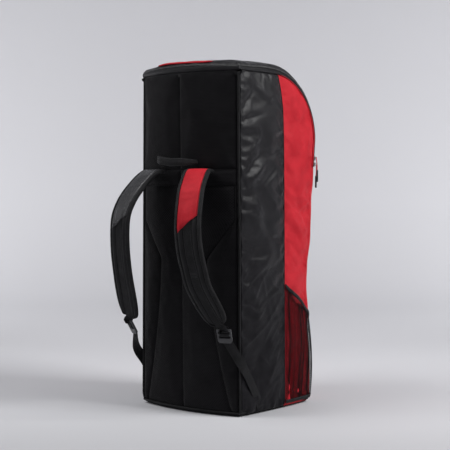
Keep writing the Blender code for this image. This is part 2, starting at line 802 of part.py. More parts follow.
def build_zip_pulls():
    """Both sliders rest at the zip's right-hand end, one above the other, each with a red cord
    and a moulded grip that hangs from it."""
    turn = (RIM_WIDTH + ZIP_WIDTH / 2) / SHOULDER
    normal = Vector((math.cos(turn), math.sin(turn), 0))
    sideways = Vector((-math.sin(turn), math.cos(turn), 0))
    for label, z, shift in (("upper", HINGE_Z + 0.0235, -0.0042), ("lower", HINGE_Z + 0.0075, 0.0042)):
        seat = wrap_point(RIM_WIDTH + ZIP_WIDTH / 2, z / CURVE_Z)
        centre = seat + normal * (SLIDER_SIZE.y / 2 + SLIDER_CLEARANCE)
        facing = turn - math.pi / 2
        body = block(f"slider_{label}", Vector(), SLIDER_SIZE, facing, SLIDER_BEVEL, slider_metal())
        eye = centre + normal * EYE_REACH + sideways * shift + Vector((0, 0, EYE_RISE))
        anchor = pivot(f"slider_{label}_path", centre)
        body.parent = bpy.data.objects[anchor]
        joint = pivot(f"pull_{label}_hinge", eye)
        foot = eye - Vector((0, 0, PULL_CORD_LENGTH))
        cord = [eye, (eye + foot) / 2, foot]
        grip_top = foot - Vector((0, 0, SMALL_GAP))
        place(tube(f"pull_cord_{label}", cord, PULL_CORD_RADIUS, red_cord()), joint)
        grip = [grip_top, grip_top - Vector((0, 0, 0.010)), grip_top - Vector((0, 0, PULL_GRIP_LENGTH))]
        place(tube(f"pull_grip_{label}", grip, PULL_GRIP_RADIUS, buckle_plastic(), 2), joint)


def build_handle():
    """The grab handle: a doubled webbing loop from the yoke seam, standing out over the straps."""
    count = 12
    root = back_y(0, HANDLE_Z)
    pivot("handle_hinge", (0.0, root - 0.002, HANDLE_Z + HANDLE_HEIGHT / 2))
    route = []
    for i in range(count + 1):
        turn = math.pi * i / count
        x = HANDLE_HALF * math.cos(turn)
        stand = back_y(x, HANDLE_Z) - 0.004 - HANDLE_REACH * math.sin(turn) ** 0.7
        route.append(Vector((x, stand, HANDLE_Z)))

    def upright(_):
        return Vector((0, 0, 1))

    def width(_):
        return HANDLE_HEIGHT / 2

    half = HANDLE_THICKNESS / 2
    span = (0, count)
    loop = strip("grab_handle", route, span, width, half, upright, PADDED_SECTION, webbing_black())
    place(loop, "handle_hinge")


def build_straps():
    """Each shoulder strap: a foam pad with a colour panel and sewn webbing on its outer face, a
    ladder lock at its tip, and the adjusting webbing down to a tab in the side's foot seam."""
    for label, side in (("right", 1), ("left", -1)):
        colour = red_polyester() if side > 0 else black_nylon()
        hinge = Vector((side * STRAP_ROUTE[0][0], back_y(STRAP_ROUTE[0][0], YOKE_HIGH) - 0.002, 0.6200))
        joint = pivot(f"strap_{label}_hinge", hinge)
        last = 22
        route = smooth_route(mirrored(STRAP_ROUTE, side), last)
        wide = Vector((math.cos(STRAP_TWIST), side * math.sin(STRAP_TWIST), 0.0))
        half = STRAP_THICKNESS / 2

        def level(_, wide=wide):
            return wide

        def pad_width(i):
            taper = max(0.0, (i / last - 0.84) / 0.16)
            return lerp(STRAP_HALF_WIDTH, STRAP_TIP_HALF_WIDTH, taper**2)

        def layer(name, span, half_wide, half_thick, section, shade, lift=0.0):
            solid = strip(name, route, span, half_wide, half_thick, level, section, shade, lift)
            place(solid, joint)

        layer(f"strap_pad_{label}", (0, last), pad_width, half, PADDED_SECTION, air_mesh())
        above = -(half + LAYER_GAP + WEBBING / 2)
        layer(
            f"strap_panel_{label}",
            (3, 10),
            lambda _: STRAP_HALF_WIDTH * 0.80,
            WEBBING / 2,
            FLAT_SECTION,
            colour,
            above,
        )
        layer(
            f"strap_webbing_{label}",
            (11, last),
            lambda _: WEBBING_HALF_WIDTH,
            WEBBING / 2,
            FLAT_SECTION,
            webbing_black(),
            above,
        )
        build_lock(label, side, joint)

        path = smooth_route(mirrored(ADJUSTER_ROUTE, side), 14)

        def turning(i, side=side):
            """The webbing turns from facing the strap to lying flat against the bag's side."""
            facing_strap = Vector((0.86, side * 0.42, 0.28))
            flat_on_side = Vector((0.05, side * 0.86, side * 0.50))
            return facing_strap.lerp(flat_on_side, min(1.0, i / 5))

        strip(
            f"adjuster_webbing_{label}",
            path,
            (0, len(path) - 1),
            lambda _: WEBBING_HALF_WIDTH,
            WEBBING / 2,
            turning,
            FLAT_SECTION,
            webbing_black(),
        )


def build_lock(label, side, joint):
    """The ladder lock: a moulded frame whose cross bars leave two slots for the webbing."""
    half_x, half_z = LOCK_SIZE.x / 2, LOCK_SIZE.z / 2
    columns = [-half_x, -half_x + LOCK_RAIL, half_x - LOCK_RAIL, half_x]
    rows = [-half_z, *LOCK_SLOTS[0], *LOCK_SLOTS[1], half_z]
    bm = bmesh.new()
    grid = [[bm.verts.new((x, -LOCK_SIZE.y / 2, z)) for z in rows] for x in columns]
    for i in range(len(columns) - 1):
        for j in range(len(rows) - 1):
            if not (i == 1 and j in (1, 3)):
                bm.faces.new((grid[i][j], grid[i + 1][j], grid[i + 1][j + 1], grid[i][j + 1]))
    front = bmesh.ops.extrude_face_region(bm, geom=bm.faces[:])["geom"]
    moved = [item for item in front if isinstance(item, bmesh.types.BMVert)]
    bmesh.ops.translate(bm, vec=(0.0, LOCK_SIZE.y, 0.0), verts=moved)
    bmesh.ops.recalc_face_normals(bm, faces=bm.faces)
    mesh = bpy.data.meshes.new(f"ladder_lock_{label}")
    bm.to_mesh(mesh)
    bm.free()
    turn = Euler((math.radians(28), 0.0, side * math.radians(24))).to_matrix().to_4x4()
    mesh.transform(Matrix.Translation((side * LOCK_CENTRE.x, LOCK_CENTRE.y, LOCK_CENTRE.z)) @ turn)
    place(finish(bpy.data.objects.new(f"ladder_lock_{label}", mesh), buckle_plastic()), joint)


def main():
    clear_scene()
    build_base()
    build_back()
    build_sides()
    build_front()
    build_mesh_pockets()
    build_lid()
    build_zip_pulls()
    build_handle()
    build_straps()


main()
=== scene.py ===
"""An upright hockey equipment backpack: its cloth, padding, straps, zips and net pockets."""
import math

import bmesh
import bpy
from mathutils import Matrix, Vector, noise


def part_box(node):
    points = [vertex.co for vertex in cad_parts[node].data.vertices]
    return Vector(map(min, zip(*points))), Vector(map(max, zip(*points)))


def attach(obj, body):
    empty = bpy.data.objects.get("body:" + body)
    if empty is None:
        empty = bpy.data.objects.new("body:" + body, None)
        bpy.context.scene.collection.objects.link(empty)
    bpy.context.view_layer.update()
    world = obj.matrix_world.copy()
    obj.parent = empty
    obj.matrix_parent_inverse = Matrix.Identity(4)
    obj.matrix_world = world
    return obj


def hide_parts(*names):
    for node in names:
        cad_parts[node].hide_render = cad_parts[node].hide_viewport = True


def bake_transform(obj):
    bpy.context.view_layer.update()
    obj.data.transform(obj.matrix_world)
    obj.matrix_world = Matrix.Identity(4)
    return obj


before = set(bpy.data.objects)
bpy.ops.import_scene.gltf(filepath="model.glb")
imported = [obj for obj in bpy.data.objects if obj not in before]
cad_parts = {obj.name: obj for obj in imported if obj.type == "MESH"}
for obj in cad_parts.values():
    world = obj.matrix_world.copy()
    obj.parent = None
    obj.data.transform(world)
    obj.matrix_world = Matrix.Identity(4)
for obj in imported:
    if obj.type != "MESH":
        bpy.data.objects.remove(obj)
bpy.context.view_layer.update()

bpy.ops.object.select_all(action="DESELECT")

# The studio: a camera a little above the middle of the bag, looking at its back and right side
# from about three metres, on a pale sweep of paper with soft light from the right and above.
CAMERA_TURN = math.radians(39.69)
CAMERA_TILT = math.radians(1.78)
CAMERA_DISTANCE = 3.231
CAMERA_HEIGHT = 0.583
LENS = 95.5
SENSOR = 36.0



def placed(name, data):
    """An object that holds the data, linked into the scene."""
    thing = bpy.data.objects.new(name, data)
    bpy.context.scene.collection.objects.link(thing)
    return thing


camera_data = bpy.data.cameras.new("camera")
camera_data.lens = LENS
camera_data.sensor_width = SENSOR
camera = placed("camera", camera_data)
camera.location = (
    CAMERA_DISTANCE * math.sin(CAMERA_TURN),
    -CAMERA_DISTANCE * math.cos(CAMERA_TURN),
    CAMERA_HEIGHT,
)
camera.rotation_euler = (math.pi / 2 - CAMERA_TILT, 0.0, CAMERA_TURN)
bpy.context.scene.camera = camera


def softbox(name, place, size, power, aim=(0.0, 0.0, 0.45)):
    """A square softbox, which faces the middle of the bag unless it is aimed elsewhere."""
    light = bpy.data.lights.new(name, "AREA")
    light.shape = "SQUARE"
    light.size = size
    light.energy = power
    box = placed(name, light)
    box.location = place
    box.rotation_euler = (Vector(aim) - Vector(place)).to_track_quat("-Z", "Y").to_euler()


softbox("key_light", (2.7, 0.7, 2.6), 1.4, 104)
softbox("top_light", (-0.9, -1.6, 3.0), 1.5, 46)
softbox("fill_light", (-2.6, -2.4, 1.6), 2.2, 8)
facing = Matrix.Rotation(CAMERA_TURN, 3, "Z")
for side in (-1, 1):
    stand = facing @ Vector((side * 3.0, 1.6, 0.6))
    wall = facing @ Vector((side * 2.6, 4.4, 0.5))
    softbox(f"backdrop_light_{side}", tuple(stand), 1.8, 66, tuple(wall))

world = bpy.data.worlds.new("studio_air")
world.use_nodes = True
air = world.node_tree.nodes["Background"]
air.inputs["Color"].default_value = (0.80, 0.80, 0.84, 1.0)
air.inputs["Strength"].default_value = 0.27
bpy.context.scene.world = world
bpy.context.scene.view_settings.view_transform = "Standard"

SWEEP_WIDTH = 14.0
SWEEP_FRONT = -7.0
SWEEP_BEND = 2.6
SWEEP_RADIUS = 1.8
SWEEP_TOP = 7.0
sweep_profile = [(SWEEP_FRONT, 0.0), (SWEEP_BEND, 0.0)]
for step in range(1, 13):
    angle = math.pi / 2 * step / 12
    sweep_profile.append(
        (SWEEP_BEND + SWEEP_RADIUS * math.sin(angle), SWEEP_RADIUS - SWEEP_RADIUS * math.cos(angle))
    )
sweep_profile.append((SWEEP_BEND + SWEEP_RADIUS, SWEEP_TOP))
sweep_mesh = bpy.data.meshes.new("paper_sweep")
sweep_points = [(side * SWEEP_WIDTH / 2, y, z) for y, z in sweep_profile for side in (-1, 1)]
sweep_faces = [(2 * i, 2 * i + 1, 2 * i + 3, 2 * i + 2) for i in range(len(sweep_profile) - 1)]
sweep_mesh.from_pydata(sweep_points, [], sweep_faces)
sweep_mesh.transform(Matrix.Rotation(CAMERA_TURN, 4, "Z"))
sweep_mesh.shade_smooth()
paper_sweep = placed("paper_sweep", sweep_mesh)


def start_material(name, roughness, specular=0.5, sheen=0.0, sheen_roughness=0.5, metallic=0.0):
    material = bpy.data.materials.new(name)
    material.use_nodes = True
    shader = material.node_tree.nodes["Principled BSDF"]
    shader.inputs["Roughness"].default_value = roughness
    shader.inputs["Specular IOR Level"].default_value = specular
    shader.inputs["Sheen Weight"].default_value = sheen
    shader.inputs["Sheen Roughness"].default_value = sheen_roughness
    shader.inputs["Metallic"].default_value = metallic
    return material, material.node_tree, shader


def axis_of(tree, source, axis):
    """One axis of a coordinate, either "Object" or "UV"."""
    where = tree.nodes.new("ShaderNodeTexCoord")
    parts = tree.nodes.new("ShaderNodeSeparateXYZ")
    tree.links.new(where.outputs[source], parts.inputs["Vector"])
    return parts.outputs[axis]


def remap(tree, value, low, high, to_low=0.0, to_high=1.0):
    """Carries a value from one range to another, held at both ends."""
    spread = tree.nodes.new("ShaderNodeMapRange")
    names = ("From Min", "From Max", "To Min", "To Max")
    for name, amount in zip(names, (low, high, to_low, to_high)):
        spread.inputs[name].default_value = amount
    tree.links.new(value, spread.inputs["Value"])
    return spread.outputs["Result"]


def scaled(tree, colour, amount):
    """A colour made lighter or darker by a value."""
    shade = tree.nodes.new("ShaderNodeVectorMath")
    shade.operation = "SCALE"
    tree.links.new(colour, shade.inputs[0])
    tree.links.new(amount, shade.inputs["Scale"])
    return shade.outputs[0]


# The paper's colour is painted darker towards the front of the set and towards the top of the sweep: painted
# shade where the light falls off.
PAPER_SHADE_TONES = ((0.08, 0.50), (0.16, 0.60), (0.26, 0.68), (0.45, 0.70))
paper, paper_tree, paper_shader = start_material("studio_paper", 0.9)
depth_in = paper_tree.nodes.new("ShaderNodeVectorMath")
depth_in.operation = "DOT_PRODUCT"
depth_in.inputs[1].default_value = facing @ Vector((0.0, 1.0, 0.0))
paper_place = paper_tree.nodes.new("ShaderNodeTexCoord")
paper_tree.links.new(paper_place.outputs["Object"], depth_in.inputs[0])
paper_painted_shade = paper_tree.nodes.new("ShaderNodeValToRGB")
paper_painted_shade.color_ramp.elements[0].color = (0.42, 0.42, 0.44, 1.0)
paper_painted_shade.color_ramp.elements[1].color = (0.68, 0.68, 0.71, 1.0)
for share, tone in PAPER_SHADE_TONES:
    paper_painted_shade.color_ramp.elements.new(share).color = (tone, tone, tone * 1.04, 1.0)
paper_tree.links.new(remap(paper_tree, depth_in.outputs["Value"], -1.0, 4.0), paper_painted_shade.inputs["Fac"])
# Painted shade: the paper's colour darkens towards the top of the sweep.
painted_fall_off = remap(paper_tree, axis_of(paper_tree, "Object", "Z"), 0.5, 1.8, 1.0, 0.84)
painted_paper_shade = scaled(paper_tree, paper_painted_shade.outputs["Color"], painted_fall_off)
paper_tree.links.new(painted_paper_shade, paper_shader.inputs["Base Color"])
paper_sweep.data.materials.append(paper)

# The shell's pattern: a box with a bowed padded back, gently bowed sides, and one skin that runs
# up the front, over the curved top and down to the back seam. Every panel is cut from it.
SEAM_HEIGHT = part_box("back_pad_upper_right")[1].z + 0.0006
BASE_WIDTH = 0.345
TOP_WIDTH = 0.332
BACK_Y = -0.145
BACK_BULGE_BASE = 0.028
BACK_BULGE_TOP = 0.042
SIDE_BULGE = 0.006
FRONT_CROWN = 0.008
SHOULDER = 0.025
CURVE_Z = 0.715
CURVE_Y = 0.0
FRONT_EDGE = [
    (0.0, 0.146),
    (0.12, 0.143),
    (0.24, 0.137),
    (0.33, 0.131),
    (0.43, 0.148),
    (0.55, 0.158),
    (CURVE_Z, 0.175),
]
CURVE_DEPTH = FRONT_EDGE[-1][1] - CURVE_Y
CURVE_RISE = SEAM_HEIGHT - CURVE_Z
TUCK = 0.008
TUCK_HEIGHT = 0.030
FOOT = 0.010
SQUARE_SHOULDER = 0.45
LID_SINK = 0.90
BACK_SINK = 0.80
HINGE_Z = 0.640
PIPING_Y = 0.034
RIM_CORNER = 0.036
RIM = 0.0065


def lerp(a, b, t):
    return a + (b - a) * t


def smooth(low, high, value):
    """0 below low, 1 above high, and an S between."""
    t = min(1.0, max(0.0, (value - low) / (high - low)))
    return t * t * (3.0 - 2.0 * t)


def steps(count, crowd=0.0):
    """count + 1 values from 0 to 1, crowded towards both ends by the share given."""
    even = [i / count for i in range(count + 1)]
    return [lerp(t, 0.5 - 0.5 * math.cos(math.pi * t), crowd) for t in even]


def through(values, t):
    """The value at t, 0 to 1, on a smooth curve through evenly spaced values."""
    spans = len(values) - 1
    at = min(max(t, 0.0), 1.0) * spans
    i = min(int(at), spans - 1)
    f = at - i
    b, c = values[i], values[i + 1]
    a = values[i - 1] if i > 0 else b + (b - c)
    d = values[i + 2] if i + 2 <= spans else c + (c - b)
    linear = (c - a) * (0.5 * f)
    square = (a * 2.0 - b * 5.0 + c * 4.0 - d) * (0.5 * f * f)
    return b + linear + square + (b * 3.0 - a - c * 3.0 + d) * (0.5 * f * f * f)


def foot_tuck(z):
    return TUCK * max(0.0, 1.0 - z / TUCK_HEIGHT) ** 2


def half_width(z):
    return lerp(BASE_WIDTH, TOP_WIDTH, z / SEAM_HEIGHT) / 2 - foot_tuck(z)


def back_y(x, z):
    bulge = lerp(BACK_BULGE_BASE, BACK_BULGE_TOP, z / SEAM_HEIGHT)
    return BACK_Y + foot_tuck(z) - bulge * (1.0 - (x / half_width(z)) ** 2)


def front_edge_y(z):
    heights = [point[0] for point in FRONT_EDGE]
    i = max(k for k in range(len(heights) - 1) if heights[k] <= max(z, 0.0))
    part = (z - heights[i]) / (heights[i + 1] - heights[i])
    return through([point[1] for point in FRONT_EDGE], (i + part) / (len(heights) - 1)) - foot_tuck(z)


def side_top(y, gap=0.0):
    forward = max(0.0, y - CURVE_Y) / (CURVE_DEPTH - gap)
    return CURVE_Z + (CURVE_RISE - gap) * math.sqrt(max(0.0, 1.0 - forward**2))


def side_x(y, z):
    across = (y - BACK_Y) / (front_edge_y(min(z, CURVE_Z)) - BACK_Y)
    along = z / max(side_top(y), z)
    return half_width(z) + SIDE_BULGE * max(0.0, 4.0 * across * (1.0 - across) * (1.0 - along**8))


def piping_y(z):
    return PIPING_Y - 0.018 * max(0.0, (z - 0.76) / 0.12) ** 2


def side_edge(s):
    """(y, z) and outward normal on the side's front and top seam: s is 0 at the foot, 1 where the
    top curve starts, 2 where it ends and 3 at the back."""
    if s <= 1.0:
        return Vector((front_edge_y(s * CURVE_Z), s * CURVE_Z)), Vector((1.0, 0.0))
    if s <= 2.0:
        angle = (s - 1.0) * math.pi / 2
        spot = Vector((CURVE_Y + CURVE_DEPTH * math.cos(angle), CURVE_Z + CURVE_RISE * math.sin(angle)))
        return spot, Vector((math.cos(angle) / CURVE_DEPTH, math.sin(angle) / CURVE_RISE)).normalized()
    return Vector((CURVE_Y, SEAM_HEIGHT)), Vector((0.0, 1.0))


def wrap_half(s):
    return half_width(side_edge(s)[0].y) - SHOULDER + SHOULDER * math.pi / 2


BACK_RUN = CURVE_Y - back_y(0.0, SEAM_HEIGHT) - SHOULDER + SHOULDER * math.pi / 2


def back_stop(distance):
    """The s that lies a distance forward of the back seam, over the top."""
    return 3.0 - distance / BACK_RUN


def skin(reach, s):
    """The front and top skin at a signed distance from its middle line, +X to the right. Its
    shoulders are round down the front and squarer over the top, where foam fills them."""
    (y, z), normal = side_edge(s)
    inset = max(0.0, wrap_half(s) - abs(reach))
    flat = half_width(z) - SHOULDER
    square = lerp(1.0, SQUARE_SHOULDER, smooth(1.5, 2.3, s))
    if inset < SHOULDER * math.pi / 2:
        x = flat + SHOULDER * math.cos(inset / SHOULDER) ** square
        rise = SHOULDER * math.sin(inset / SHOULDER) ** square
    else:
        x = flat - (inset - SHOULDER * math.pi / 2)
        rise = SHOULDER + FRONT_CROWN * (1.0 - (x / flat) ** 2)
    if s > 2.0:
        level = CURVE_Y - back_y(x, SEAM_HEIGHT) - SHOULDER
        travel = (s - 2.0) * (level + SHOULDER * math.pi / 2)
        if travel <= level:
            y = CURVE_Y - travel
        else:
            turn = min(math.pi / 2, (travel - level) / SHOULDER)
            y = CURVE_Y - level - SHOULDER * math.sin(turn) ** square
            rise *= math.cos(turn) ** square
    rise *= lerp(1.0, LID_SINK, smooth(1.5, 2.3, s)) * lerp(1.0, BACK_SINK, smooth(2.15, 3.0, s))
    return Vector((math.copysign(x, reach), y + normal.x * rise, z + normal.y * rise))


def rim_route(offset, count=150):
    """(reach, s) pairs round the lid at one distance in from the side and back seams: up the right
    side from the fold, round the back corners and down the left side. The outermost line keeps
    the shell's square corner, and those inside it are rounder."""
    turn = lerp(0.003, RIM_CORNER - RIM, min(1.0, offset / RIM)) - max(0.0, offset - RIM)
    right = []
    last = back_stop(offset + turn)
    for i in range(count):
        s = lerp(HINGE_Z / CURVE_Z, last, i / count)
        right.append((wrap_half(s) - offset, s))
    centre = wrap_half(3.0) - offset - turn
    for i in range(17):
        angle = math.pi / 2 * i / 16
        right.append((centre + turn * math.cos(angle), back_stop(offset + turn - turn * math.sin(angle))))
    across = [(lerp(centre, -centre, i / 60), back_stop(offset)) for i in range(1, 60)]
    return right + across + [(-reach, s) for reach, s in reversed(right)]


def bag_core(point):
    """The point inside the bag that a panel's outer face looks away from."""
    return Vector((0.0, 0.0, min(max(point.z, 0.12), 0.60)))


def cut_panel(name, point, us, vs, lift=None, core=bag_core):
    """A panel over the pattern with its UV map in metres. lift raises it along its normals."""
    bm = bmesh.new()
    rows = [[bm.verts.new(point(u, v)) for v in vs] for u in us]
    uv = bm.loops.layers.uv.new("cloth")
    across, up = [0.0], [0.0]
    mid_u, mid_v = len(us) // 2, len(vs) // 2
    for i in range(1, len(us)):
        across.append(across[-1] + (rows[i][mid_v].co - rows[i - 1][mid_v].co).length)
    for j in range(1, len(vs)):
        up.append(up[-1] + (rows[mid_u][j].co - rows[mid_u][j - 1].co).length)
    place = {}
    for i, row in enumerate(rows):
        for j, vert in enumerate(row):
            place[vert] = (across[i], up[j], us[i], vs[j])
    for i in range(len(us) - 1):
        for j in range(len(vs) - 1):
            bm.faces.new((rows[i][j], rows[i + 1][j], rows[i + 1][j + 1], rows[i][j + 1]))
    for face in bm.faces:
        for loop in face.loops:
            loop[uv].uv = place[loop.vert][:2]
    bm.normal_update()
    facing = sum((f.normal.dot(f.calc_center_median() - core(f.calc_center_median())) for f in bm.faces))
    if facing < 0:
        bmesh.ops.reverse_faces(bm, faces=bm.faces)
        bm.normal_update()
    if lift:
        rise = {vert: vert.normal * lift(place[vert][2], place[vert][3], vert.co) for vert in place}
        for vert, move in rise.items():
            vert.co += move
    mesh = bpy.data.meshes.new(name)
    bm.to_mesh(mesh)
    bm.free()
    mesh.shade_smooth()
    return placed(name, mesh)


def apply(piece, modifier):
    bpy.context.view_layer.objects.active = piece
    bpy.ops.object.modifier_apply(modifier=modifier.name)


def refine(piece):
    """Rounds a panel once, keeping its corners."""
    curve = piece.modifiers.new("refine", "SUBSURF")
    curve.levels = 1
    curve.render_levels = 1
    curve.boundary_smooth = "PRESERVE_CORNERS"
    apply(piece, curve)


def thicken(piece, thickness, offset=-1.0):
    wall = piece.modifiers.new("cloth_thickness", "SOLIDIFY")
    wall.thickness = thickness
    wall.offset = offset
    apply(piece, wall)


def settle(piece, pressure, slack, stiffness=0.4, cap=0.012, frames=18):
    """Lets a panel that is cut a little larger than its seams billow out as cloth. Its edge stays
    sewn in place, and no point moves more than the cap."""
    start = [vert.co.copy() for vert in piece.data.vertices]
    use = [0] * len(start)
    for polygon in piece.data.polygons:
        for a in polygon.vertices:
            use[a] += 1
    sewn = piece.vertex_groups.new(name="sewn")
    sewn.add([i for i, faces in enumerate(use) if faces < 4], 1.0, "REPLACE")
    cloth = piece.modifiers.new("settling", "CLOTH")
    cloth.settings.vertex_group_mass = "sewn"
    cloth.settings.quality = 5
    cloth.settings.mass = 0.12
    cloth.settings.tension_stiffness = 20
    cloth.settings.compression_stiffness = 20
    cloth.settings.shear_stiffness = 6
    cloth.settings.bending_stiffness = stiffness
    cloth.settings.shrink_min = -slack
    cloth.settings.use_pressure = True
    cloth.settings.uniform_pressure_force = pressure
    cloth.settings.effector_weights.gravity = 0.0
    cloth.collision_settings.use_collision = False
    for frame_number in range(1, frames + 1):
        bpy.context.scene.frame_set(frame_number)
    apply(piece, cloth)
    bpy.context.scene.frame_set(1)
    for vert, home in zip(piece.data.vertices, start):
        move = vert.co - home
        if move.length > cap:
            vert.co = home + move * (cap / move.length)
    piece.vertex_groups.clear()


def dress(piece, material, body, slot_name, *replaced):
    piece.data.materials.clear()
    piece.data.materials.append(material)
    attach(piece, body)
    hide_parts(*replaced)
    return piece


def calc(tree, operation, first, second=0.0):
    node = tree.nodes.new("ShaderNodeMath")
    node.operation = operation
    for socket, value in zip(node.inputs, (first, second)):
        if isinstance(value, bpy.types.NodeSocket):
            tree.links.new(value, socket)
        else:
            socket.default_value = value
    return node.outputs[0]


def blotches(tree, scale, detail=3.0, low=0.35, high=0.65):
    """Soft uneven patches in object space, from 0 to 1."""
    where = tree.nodes.new("ShaderNodeTexCoord")
    cloud = tree.nodes.new("ShaderNodeTexNoise")
    cloud.inputs["Scale"].default_value = scale
    cloud.inputs["Detail"].default_value = detail
    tree.links.new(where.outputs["Object"], cloud.inputs["Vector"])
    return remap(tree, cloud.outputs["Fac"], low, high)


def tint(tree, amount, dark, light):
    mix = tree.nodes.new("ShaderNodeMix")
    mix.data_type = "RGBA"
    for name, value in (("A_Color", dark), ("B_Color", light)):
        socket = next(s for s in mix.inputs if s.identifier == name)
        if isinstance(value, bpy.types.NodeSocket):
            tree.links.new(value, socket)
        else:
            socket.default_value = (*value, 1.0)
    tree.links.new(amount, mix.inputs["Factor"])
    return next(s for s in mix.outputs if s.identifier == "Result_Color")


def finish_material(tree, shader, colour, height, depth, strength, rough_low, rough_high, rough_by):
    """Joins a colour, a height pattern for bump and a roughness range to the shader."""
    tree.links.new(colour, shader.inputs["Base Color"])
    bump = tree.nodes.new("ShaderNodeBump")
    bump.inputs["Strength"].default_value = strength
    bump.inputs["Distance"].default_value = depth
    tree.links.new(height, bump.inputs["Height"])
    tree.links.new(bump.outputs["Normal"], shader.inputs["Normal"])
    tree.links.new(remap(tree, rough_by, 0.0, 1.0, rough_low, rough_high), shader.inputs["Roughness"])


def uv_parts(tree):
    """How far across and along the cloth, in metres."""
    return axis_of(tree, "UV", "X"), axis_of(tree, "UV", "Y")


def ridges(tree, value, pitch):
    """Rounded threads, one each pitch, from 0 to 1."""
    return calc(tree, "ABSOLUTE", calc(tree, "SINE", calc(tree, "MULTIPLY", value, math.pi / pitch)))


def paint_shine_by_height(tree, shader, at_foot, at_top):
    """Paints shade on the coating by height: its shine falls from the top of the bag to its foot, standing in
    for light that falls off lower down.
    """
    painted_shine = remap(tree, axis_of(tree, "Object", "Z"), 0.10, 0.85, at_foot, at_top)
    tree.links.new(painted_shine, shader.inputs["Specular IOR Level"])


def woven(name, dark, light, pitch, rough, sheen, specular, strength, painted_foot_specular=None):
    """Plain-weave cloth: warp over weft and weft over warp in turn, uneven dye, rubbed patches."""
    material, tree, shader = start_material(name, rough[0], specular, sheen)
    x, y = uv_parts(tree)
    warp, weft = ridges(tree, x, pitch), ridges(tree, y, pitch)
    cell_x = calc(tree, "FLOOR", calc(tree, "DIVIDE", x, pitch))
    cell_y = calc(tree, "FLOOR", calc(tree, "DIVIDE", y, pitch))
    turn = calc(tree, "FLOORED_MODULO", calc(tree, "ADD", cell_x, cell_y), 2.0)
    over = calc(tree, "MULTIPLY", warp, calc(tree, "SUBTRACT", 1.0, turn))
    thread = calc(tree, "ADD", over, calc(tree, "MULTIPLY", weft, turn))
    dye = tint(tree, blotches(tree, 26.0), dark, light)
    worn = blotches(tree, 7.0, 6.0, 0.45, 0.75)
    shade = calc(tree, "MULTIPLY_ADD", thread, 0.22)
    tree.nodes[-1].inputs[2].default_value = 0.82
    mixed = scaled(tree, dye, shade)
    fuzz = calc(tree, "MULTIPLY", blotches(tree, 900.0, 2.0), 0.5)
    height = calc(tree, "ADD", thread, fuzz)
    finish_material(tree, shader, mixed, height, pitch * 0.35, strength, rough[0], rough[1], worn)
    # Painted shade: the coating's shine can be made to fall off towards the foot of the bag.
    if painted_foot_specular is not None:
        paint_shine_by_height(tree, shader, painted_foot_specular, specular)
    return material


RED_CLOTH = woven(
    "red_polyester_cloth", dark=(0.47, 0.014, 0.024), light=(0.57, 0.022, 0.034),
    pitch=0.0011, rough=(0.55, 0.70), sheen=0.0, specular=0.12, strength=0.35,
)
STRAP_CLOTH = woven(
    "black_strap_nylon", dark=(0.0080, 0.0078, 0.0088), light=(0.0130, 0.0125, 0.0140),
    pitch=0.0008, rough=(0.55, 0.68), sheen=0.0, specular=0.20, strength=0.25,
)
BLACK_CLOTH = woven(
    "black_coated_nylon", dark=(0.0090, 0.0085, 0.0100), light=(0.0145, 0.0140, 0.0160),
    pitch=0.0008, rough=(0.38, 0.50), sheen=0.02, specular=0.26, strength=0.22, painted_foot_specular=0.05,
)
LINING_CLOTH = woven(
    "grey_lining_cloth", dark=(0.05, 0.05, 0.055), light=(0.07, 0.07, 0.075),
    pitch=0.0009, rough=(0.6, 0.75), sheen=0.0, specular=0.2, strength=0.2,
)


def air_mesh(name, pitch, dark, light):
    """Padded spacer mesh: staggered rows of small round holes in a matt knitted face, with the holes painted
    near-black as painted shade.
    """
    material, tree, shader = start_material(name, 0.85, 0.07, 0.07, 0.4)
    x, y = uv_parts(tree)
    row = calc(tree, "DIVIDE", y, pitch * 0.8)
    stagger = calc(tree, "MULTIPLY", calc(tree, "FLOORED_MODULO", calc(tree, "FLOOR", row), 2.0), 0.5)
    column = calc(tree, "ADD", calc(tree, "DIVIDE", x, pitch), stagger)
    off_x = calc(tree, "SUBTRACT", calc(tree, "FRACT", column), 0.5)
    off_y = calc(tree, "SUBTRACT", calc(tree, "FRACT", row), 0.5)
    squares = calc(tree, "ADD", calc(tree, "MULTIPLY", off_x, off_x), calc(tree, "MULTIPLY", off_y, off_y))
    rim = tree.nodes.new("ShaderNodeMapRange")
    rim.interpolation_type = "SMOOTHSTEP"
    rim.inputs["From Min"].default_value = 0.05
    rim.inputs["From Max"].default_value = 0.14
    tree.links.new(squares, rim.inputs["Value"])
    knit = calc(tree, "MULTIPLY", ridges(tree, x, pitch / 5), 0.12)
    height = calc(tree, "ADD", rim.outputs["Result"], knit)
    dusty = tint(tree, blotches(tree, 14.0, 5.0), light, tuple(c * 1.3 for c in light))
    # Painted shade: the holes take the near-black colour and the knitted face the lighter one.
    colour = tint(tree, rim.outputs["Result"], dark, dusty)
    finish_material(tree, shader, colour, height, pitch * 0.22, 0.6, 0.78, 0.92, blotches(tree, 40.0))
    return material


AIR_MESH = air_mesh("black_air_mesh", 0.0042, (0.0010, 0.0010, 0.0012), (0.0095, 0.0090, 0.0102))


def webbing(name, dark, light, rib, herring):
    """Ribbed webbing: slanted threads that turn back on themselves down the length of the tape."""
    material, tree, shader = start_material(name, 0.6, 0.18)
    x, y = uv_parts(tree)
    fold = calc(tree, "PINGPONG", x, herring)
    slant = calc(tree, "ADD", y, calc(tree, "MULTIPLY", fold, 1.2))
    rows = ridges(tree, slant, rib)
    columns = ridges(tree, x, herring / 3)
    height = calc(tree, "ADD", rows, calc(tree, "MULTIPLY", columns, 0.35))
    worn = tint(tree, blotches(tree, 60.0, 4.0), dark, light)
    finish_material(tree, shader, worn, height, rib * 0.35, 0.6, 0.5, 0.68, blotches(tree, 30.0))
    return material


WEBBING = webbing("black_webbing", (0.006, 0.006, 0.0065), (0.013, 0.0125, 0.014), 0.0013, 0.0045)
BINDING = webbing("black_binding_tape", (0.007, 0.007, 0.0075), (0.015, 0.0145, 0.016), 0.0010, 0.0300)

